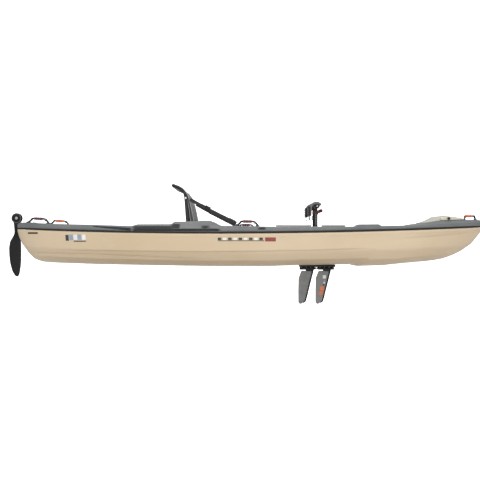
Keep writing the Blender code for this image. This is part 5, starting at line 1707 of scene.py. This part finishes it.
def press_cushion(points):
    """Two cross seams and one along the middle pull the top down as exp(-(d / 7 mm)^2)."""
    top = smooth_step(points[:, 2], 0.170, 0.184)
    seams = np.exp(-((points[:, 0] + 0.285) / SEAM_WIDTH) ** 2)
    seams = seams + np.exp(-((points[:, 0] + 0.170) / SEAM_WIDTH) ** 2)
    hollow = np.exp(-((points[:, 0] + 0.23) / 0.13) ** 2 - (points[:, 1] / 0.14) ** 2)
    points[:, 2] -= top * (SEAM_DEPTH * np.minimum(seams, 1.0) + HOLLOW_DEPTH * hollow)
    return points


cushion = rounded_block("cushion_pad", (-0.396, -0.206, 0.1625), (-0.064, 0.206, 0.1855), 0.0105)
inflate(cushion, 0.008)
subdivide(cushion)
reshape(cushion, press_cushion)
finish_piece(cushion, "hull", SEAT_GREY, "seat_fabric", "seat_cushion")

seat_z = SEAT_FLOOR + FRAME_TUBE + 0.0006
corner = 0.05
base_loop = []
for turn_number, (x, y) in enumerate(
    ((-0.045, 0.235), (-0.445, 0.235), (-0.445, -0.235), (-0.045, -0.235))):
    inner = (x - corner if x > -0.2 else x + corner, y - corner if y > 0 else y + corner)
    base_loop.append(arc_points(inner, corner, 90 * turn_number, 90 * turn_number + 90, 10))
base_loop = np.concatenate(base_loop)
base_path = curve_through(
    np.concatenate([base_loop, np.full((len(base_loop), 1), seat_z)], axis=1), 260, closed=True)
base_tube = bar("seat_base_tube", base_path, circle(FRAME_TUBE, 20), (0, 0, 1), closed=True)
finish_piece(base_tube, "hull", FRAME_COAT, "frame_metal", "seat_base_frame")
for side_name, side in SIDES:
    lug_outline = np.concatenate(
        [[(-0.4385, 0.1385), (-0.379, 0.1385)], arc_points((-0.424, 0.270), 0.0145, -8, 188, 30)])
    lug = side_plate(f"seat_lug_{side_name}", lug_outline, side, LUG_SPAN, 0.0010)
    finish_piece(lug, "hull", FRAME_COAT, "frame_metal")
    foot = side_block(
        f"seat_lug_foot_{side_name}", side, (-0.425, -0.385), (0.235, 0.248),
        (seat_z - 0.006, seat_z + 0.006), 0.0020, 2)
    finish_piece(foot, "hull", FRAME_COAT, "frame_metal")

rail = np.array([(-0.4240, 0.262), (-0.4290, 0.298), (-0.4350, 0.380), (-0.4395, 0.440), (-0.4470, 0.475),
                 (-0.4630, 0.500), (-0.4880, 0.517), (-0.5170, 0.529)])
inward = 0.035 * np.maximum(0.0, (rail[:, 1] - 0.44) / 0.09)
near = np.stack([rail[:, 0], -0.235 + inward, rail[:, 1]], axis=1)
half_path = np.concatenate([near, [(-0.5260, -0.180, 0.5325), (-0.5290, -0.150, 0.5335)]])
back_path = curve_through(np.concatenate([half_path, half_path[::-1] * np.array([1, -1, 1])]), 260)
back_tube = bar("seat_back_tube", back_path, circle(FRAME_TUBE, 20), (-0.99, 0.0, 0.14))
finish_piece(back_tube, "seat_back", FRAME_COAT, "frame_metal", "seat_back_frame")

front_line = np.array([(-0.384, 0.287), (-0.388, 0.300), (-0.403, 0.375), (-0.419, 0.438), (-0.432, 0.466)])
rear_line = np.array(
    [(-0.4280, 0.287), (-0.4300, 0.300), (-0.4370, 0.375), (-0.4430, 0.438), (-0.4520, 0.466)])


def edge_x(line, heights):
    """Where one of the pad's two lines stands at each height."""
    return np.interp(heights, line[:, 1], line[:, 0])


def pad_block(name, low_share, high_share, half_width, bottom, top, tight=0.0030):
    """A slab between two shares of the way from the pad's rear line to its front line."""
    heights = np.linspace(bottom, top, 40)
    rear, front = edge_x(rear_line, heights), edge_x(front_line, heights)
    low = rear + low_share * (front - rear) + tight
    high = rear + high_share * (front - rear) - tight
    section = rounded_section(2.0, 2.0, 0.25, 6)
    middle = (low + high) / 2
    half = np.maximum(0.003, (high - low) / 2)
    end = np.minimum(heights - bottom, top - heights) / 0.008
    ease = quarter_round(end, 0.04)
    grid = np.stack([middle[:, None] + half[:, None] * ease[:, None] * section[None, :, 0],
                     (half_width - 0.006 * (1 - ease))[:, None] * section[None, :, 1],
                     np.broadcast_to(heights[:, None], (40, len(section)))], axis=-1)
    return surface(name, grid)


front_pad = pad_block("back_pad_front", 0.45, 1.0, 0.206, 0.290, 0.446, tight=0.0015)
inflate(front_pad, 0.005, voxel=0.005)
subdivide(front_pad)


def press_back(points):
    """Two upright channels press the front of the pad in by 4 mm."""
    front = edge_x(front_line, points[:, 2])
    near = smooth_step(points[:, 0] - front, -0.009, -0.002)
    channels = np.exp(-((np.abs(points[:, 1]) - 0.075) / SEAM_WIDTH) ** 2)
    points[:, 0] -= CHANNEL_DEPTH * near * channels
    return points


reshape(front_pad, press_back)
finish_piece(front_pad, "seat_back", PAD_GREY, "seat_fabric", "seat_back_pad")
rear_panel = pad_block("back_pad_rear", -0.05, 0.50, 0.2085, 0.288, 0.466, tight=0.0005)
finish_piece(rear_panel, "seat_back", PAD_BLACK, "seat_fabric")
head_line = np.array(
    [(-0.4270, 0.4500), (-0.4390, 0.4760), (-0.4560, 0.4960), (-0.4820, 0.5120), (-0.514, 0.5250)])
head_path = curve_through(np.stack([head_line[:, 0], np.zeros(5), head_line[:, 1]], axis=1), 40)
head_half = np.interp(np.linspace(0, 1, 40), [0.0, 0.4, 1.0], [0.205, 0.196, 0.168])
head_section = rounded_section(2.0, 2.0, 0.35, 6)[None] * np.stack(
    [head_half, np.full(40, 0.0062)], axis=1)[:, None]
head_panel = bar("head_panel", head_path, head_section[..., ::-1], (0, 1, 0))
finish_piece(head_panel, "seat_back", PAD_GREY, "seat_fabric")
# The pale piping lines and head stripes are partly piping and partly painted highlight along the pad's
# edges.
for number, share in enumerate((0.46, 0.95)):
    heights = np.linspace(0.292, 0.443, 24)
    rear_x = edge_x(rear_line, heights)
    edge_line = np.stack([rear_x + share * (edge_x(front_line, heights) - rear_x), heights], axis=1)
    for side_name, side in SIDES:
        route = np.stack(
            [edge_line[:, 0], np.full(24, side * (0.2080 if number == 0 else 0.2055)), edge_line[:, 1]],
            axis=1)
        line = bar(f"pad_piping_{number}_{side_name}", route, circle(0.0021, 12), (0, 1, 0))
        finish_piece(line, "seat_back", PIPING_HIGHLIGHT, "seat_fabric")
for side_name, side in SIDES:
    stripe_path = curve_through(
        [
            (-0.4215, side * 0.2075, 0.4460), (-0.4330, side * 0.2045, 0.4740),
            (-0.4500, side * 0.2000, 0.4965)],
        24)
    stripe = bar(
        f"head_stripe_{side_name}", stripe_path, rounded_section(0.0040, 0.0055, 0.0016), (0, 1, 0))
    finish_piece(stripe, "seat_back", PIPING_HIGHLIGHT, "seat_fabric")
    for name, place_at in (
        ("strap_ring", (-0.4400, side * 0.2460, 0.4460)), ("hinge_bolt", (-0.424, side * 0.2510, 0.270))):
        bolt = turned_piece(
            f"{name}_{side_name}",
            [
                (-0.006, 0.0), (-0.006, 0.0060), (0.0030, 0.0068), (0.0048, 0.0060), (0.0054, 0.0035),
                (0.0056, 0.0)],
            place_at, (0, side, 0), 28)
        finish_piece(bolt, "seat_back" if name == "strap_ring" else "hull", STEEL, "steel")

# %% [markdown]
# ## Straps and buckles
# A webbing strap ties each side of the seat back to the side deck. The back folds and the deck
# does not; the strap rides on neither. It is a thin flat bar with its weave in its
# own UV map, with stitched doubled ends and a slide buckle.

# %% Recline straps
WEB_WIDTH = 0.0225
WEB_THICKNESS = 0.0024
BUCKLE_SHARE = 0.38
for side_name, side in SIDES:
    start, end = strap_line(side)
    along, out, across = strap_axes(side)
    length = float(np.linalg.norm(end - start))
    steps = np.linspace(0.0, 1.0, 60)
    sag = -0.0035 * np.sin(math.pi * steps)
    route = start + steps[:, None] * (end - start) + sag[:, None] * np.array([0.0, 0.0, 1.0])
    strap = bar(f"strap_{side_name}", route, rounded_section(WEB_THICKNESS, WEB_WIDTH, 0.0010), across)
    finish_piece(strap, None, WEBBING, "webbing", f"recline_strap_{side_name}")
    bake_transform(strap)
    for name, share, width in (("tail", 0.30, 0.0210), ("loop", 0.90, 0.0250)):
        middle = start + share * (end - start)
        patch = bar(f"strap_{name}_{side_name}",
                    middle + np.linspace(-0.020, 0.020, 12)[:, None] * along + WEB_THICKNESS * out,
                    rounded_section(0.0016, width, 0.0007), across)
        finish_piece(patch, None, WEBBING, "webbing")
        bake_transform(patch)
    at = start + BUCKLE_SHARE * length * along
    buckle = bar(f"buckle_{side_name}", at + np.linspace(-0.0180, 0.0180, 12)[:, None] * along,
                 rounded_section(0.0090, 0.0300, 0.0026), across)
    finish_piece(buckle, "hull", BLACK, "black_plastic", f"strap_buckle_{side_name}")
    for number, share in enumerate((-0.0105, 0.0, 0.0105)):
        rib = bar(f"buckle_bar_{side_name}_{number}",
                  at + share * along + 0.0048 * out + np.linspace(-0.0135, 0.0135, 8)[:, None] * across,
                  rounded_section(0.0044, 0.0024, 0.0010), out)
        finish_piece(rib, "hull", BLACK, "black_plastic")
    anchor = rounded_block(f"anchor_{side_name}", (-0.128, side * 0.3660 - 0.012, 0.2632),
                           (-0.088, side * 0.3660 + 0.012, 0.2678), 0.0018)
    finish_piece(anchor, "hull", BLACK, "black_plastic", f"strap_anchor_{side_name}")
    for number, x in enumerate((-0.119, -0.097)):
        screw = turned_piece(
            f"anchor_screw_{side_name}_{number}",
            [(0.2674, 0.0), (0.2674, 0.0032), (0.2690, 0.0026), (0.2694, 0.0)], (x, side * 0.3660, 0),
            (0, 0, 1), 16)
        finish_piece(screw, "hull", STEEL, "steel")
print("seat and straps done")

# %% [markdown]
# ## Badges
# Thin printed strips mark the hull's side and the front fin. They carry plain colour blocks, and
# no words. A strip follows the skin it lies on, a fraction of a millimetre proud. One black strip
# by the stern is no print: it is painted shade where a slot opens in the side.

# %% Badges and the stern slot
def side_skin(x, z):
    """The hull's half-breadth at a length and a height above its ledges, from the hull's own lines:
    the section is read at the share of the height between keel and seam."""
    girth = np.linspace(0.0, SECTION_OUT[-1][0], 240)
    out_line = soften(SECTION_OUT, girth, SECTION_SOFT)
    up_line = soften(SECTION_UP, girth, SECTION_SOFT)
    share = (x - STERN_TIP) / (BOW_TIP - STERN_TIP)
    for step in range(3):
        keel = keel_height(share)
        up = (z - keel) / (seam_height(STERN_TIP + share * (BOW_TIP - STERN_TIP)) - keel)
        stern_x, bow_x = stem_places(up)
        share = (x - stern_x) / (bow_x - stern_x)
    return HALF_BEAM * np.interp(up, up_line, out_line) * plan(share)


def side_ribbon(name, side, x_span, z_span, material, slot_name, proud=0.0006):
    """A thin strip that follows the hull's side over a span of x and z: y = skin + proud."""
    x, z = np.meshgrid(np.linspace(*x_span, 24), np.linspace(*z_span, 6))
    y = side_skin(x, z)
    outer = np.stack([x, side * (y + proud), z], axis=-1)
    inner = np.stack([x, side * (y - 0.0015), z], axis=-1)
    grid = np.swapaxes(np.concatenate([inner, outer[::-1]]), 0, 1)
    return finish_piece(surface(name, grid), "hull", material, slot_name)


# The "slot" row is a black sheet of painted shade over the stern slot; the other rows are print.
BADGE_BLOCKS = [
    ("stern", (-1.190, -1.168), (0.170, 0.207), BADGE_BLACK),
    ("stern", (-1.164, -1.140), (0.176, 0.209), BADGE_BLUE),
    ("stern", (-1.136, -1.112), (0.176, 0.209), BADGE_WHITE),
    ("stern", (-1.108, -1.084), (0.176, 0.209), BADGE_BLUE),
    ("stern", (-1.080, -1.056), (0.176, 0.209), BADGE_WHITE),
    ("stern", (-1.136, -1.056), (0.164, 0.171), BADGE_BLACK),
    ("side", (-0.226, 0.060), (0.1685, 0.1725), BADGE_BLACK),
    ("side", (0.066, 0.132), (0.166, 0.191), BADGE_RED), ("slot", (-1.462, -1.384), (0.2145, 0.2245), BLACK)]
BADGE_BLOCKS += [
    (
        "side", (-0.226 + 0.032 * k, -0.204 + 0.032 * k), (0.1745, 0.1895),
        BADGE_WHITE if k % 2 else BADGE_BLACK)
    for k in range(9)]
for number, (name, x_span, z_span, material) in enumerate(BADGE_BLOCKS):
    for side_name, side in SIDES:
        side_ribbon(f"{name}_badge_{number}_{side_name}", side, x_span, z_span, material, "hull_plastic")
FIN_BLOCKS = [
    (0.4800, 0.5020, -0.0900, -0.0660, BADGE_WHITE), (0.4860, 0.5000, -0.1080, -0.0980, BADGE_BLUE),
    (0.4840, 0.4960, -0.1240, -0.1130, BADGE_WHITE), (0.4800, 0.4920, -0.1390, -0.1290, BADGE_BLACK),
    (0.4620, 0.4880, -0.1720, -0.1440, BADGE_ORANGE), (0.4560, 0.4800, -0.2020, -0.1760, BADGE_ORANGE),
]
for number, (x_from, x_to, low_z, high_z, material) in enumerate(FIN_BLOCKS):
    for side_name, side in SIDES:
        low, high = sorted((side * 0.0024, side * 0.0040))
        mark = rounded_block(
            f"fin_badge_{number}_{side_name}", (x_from, low, low_z), (x_to, high, high_z), 0.0006, 2)
        finish_piece(mark, "fin_front", material, "fin_plastic")
print("badges done")
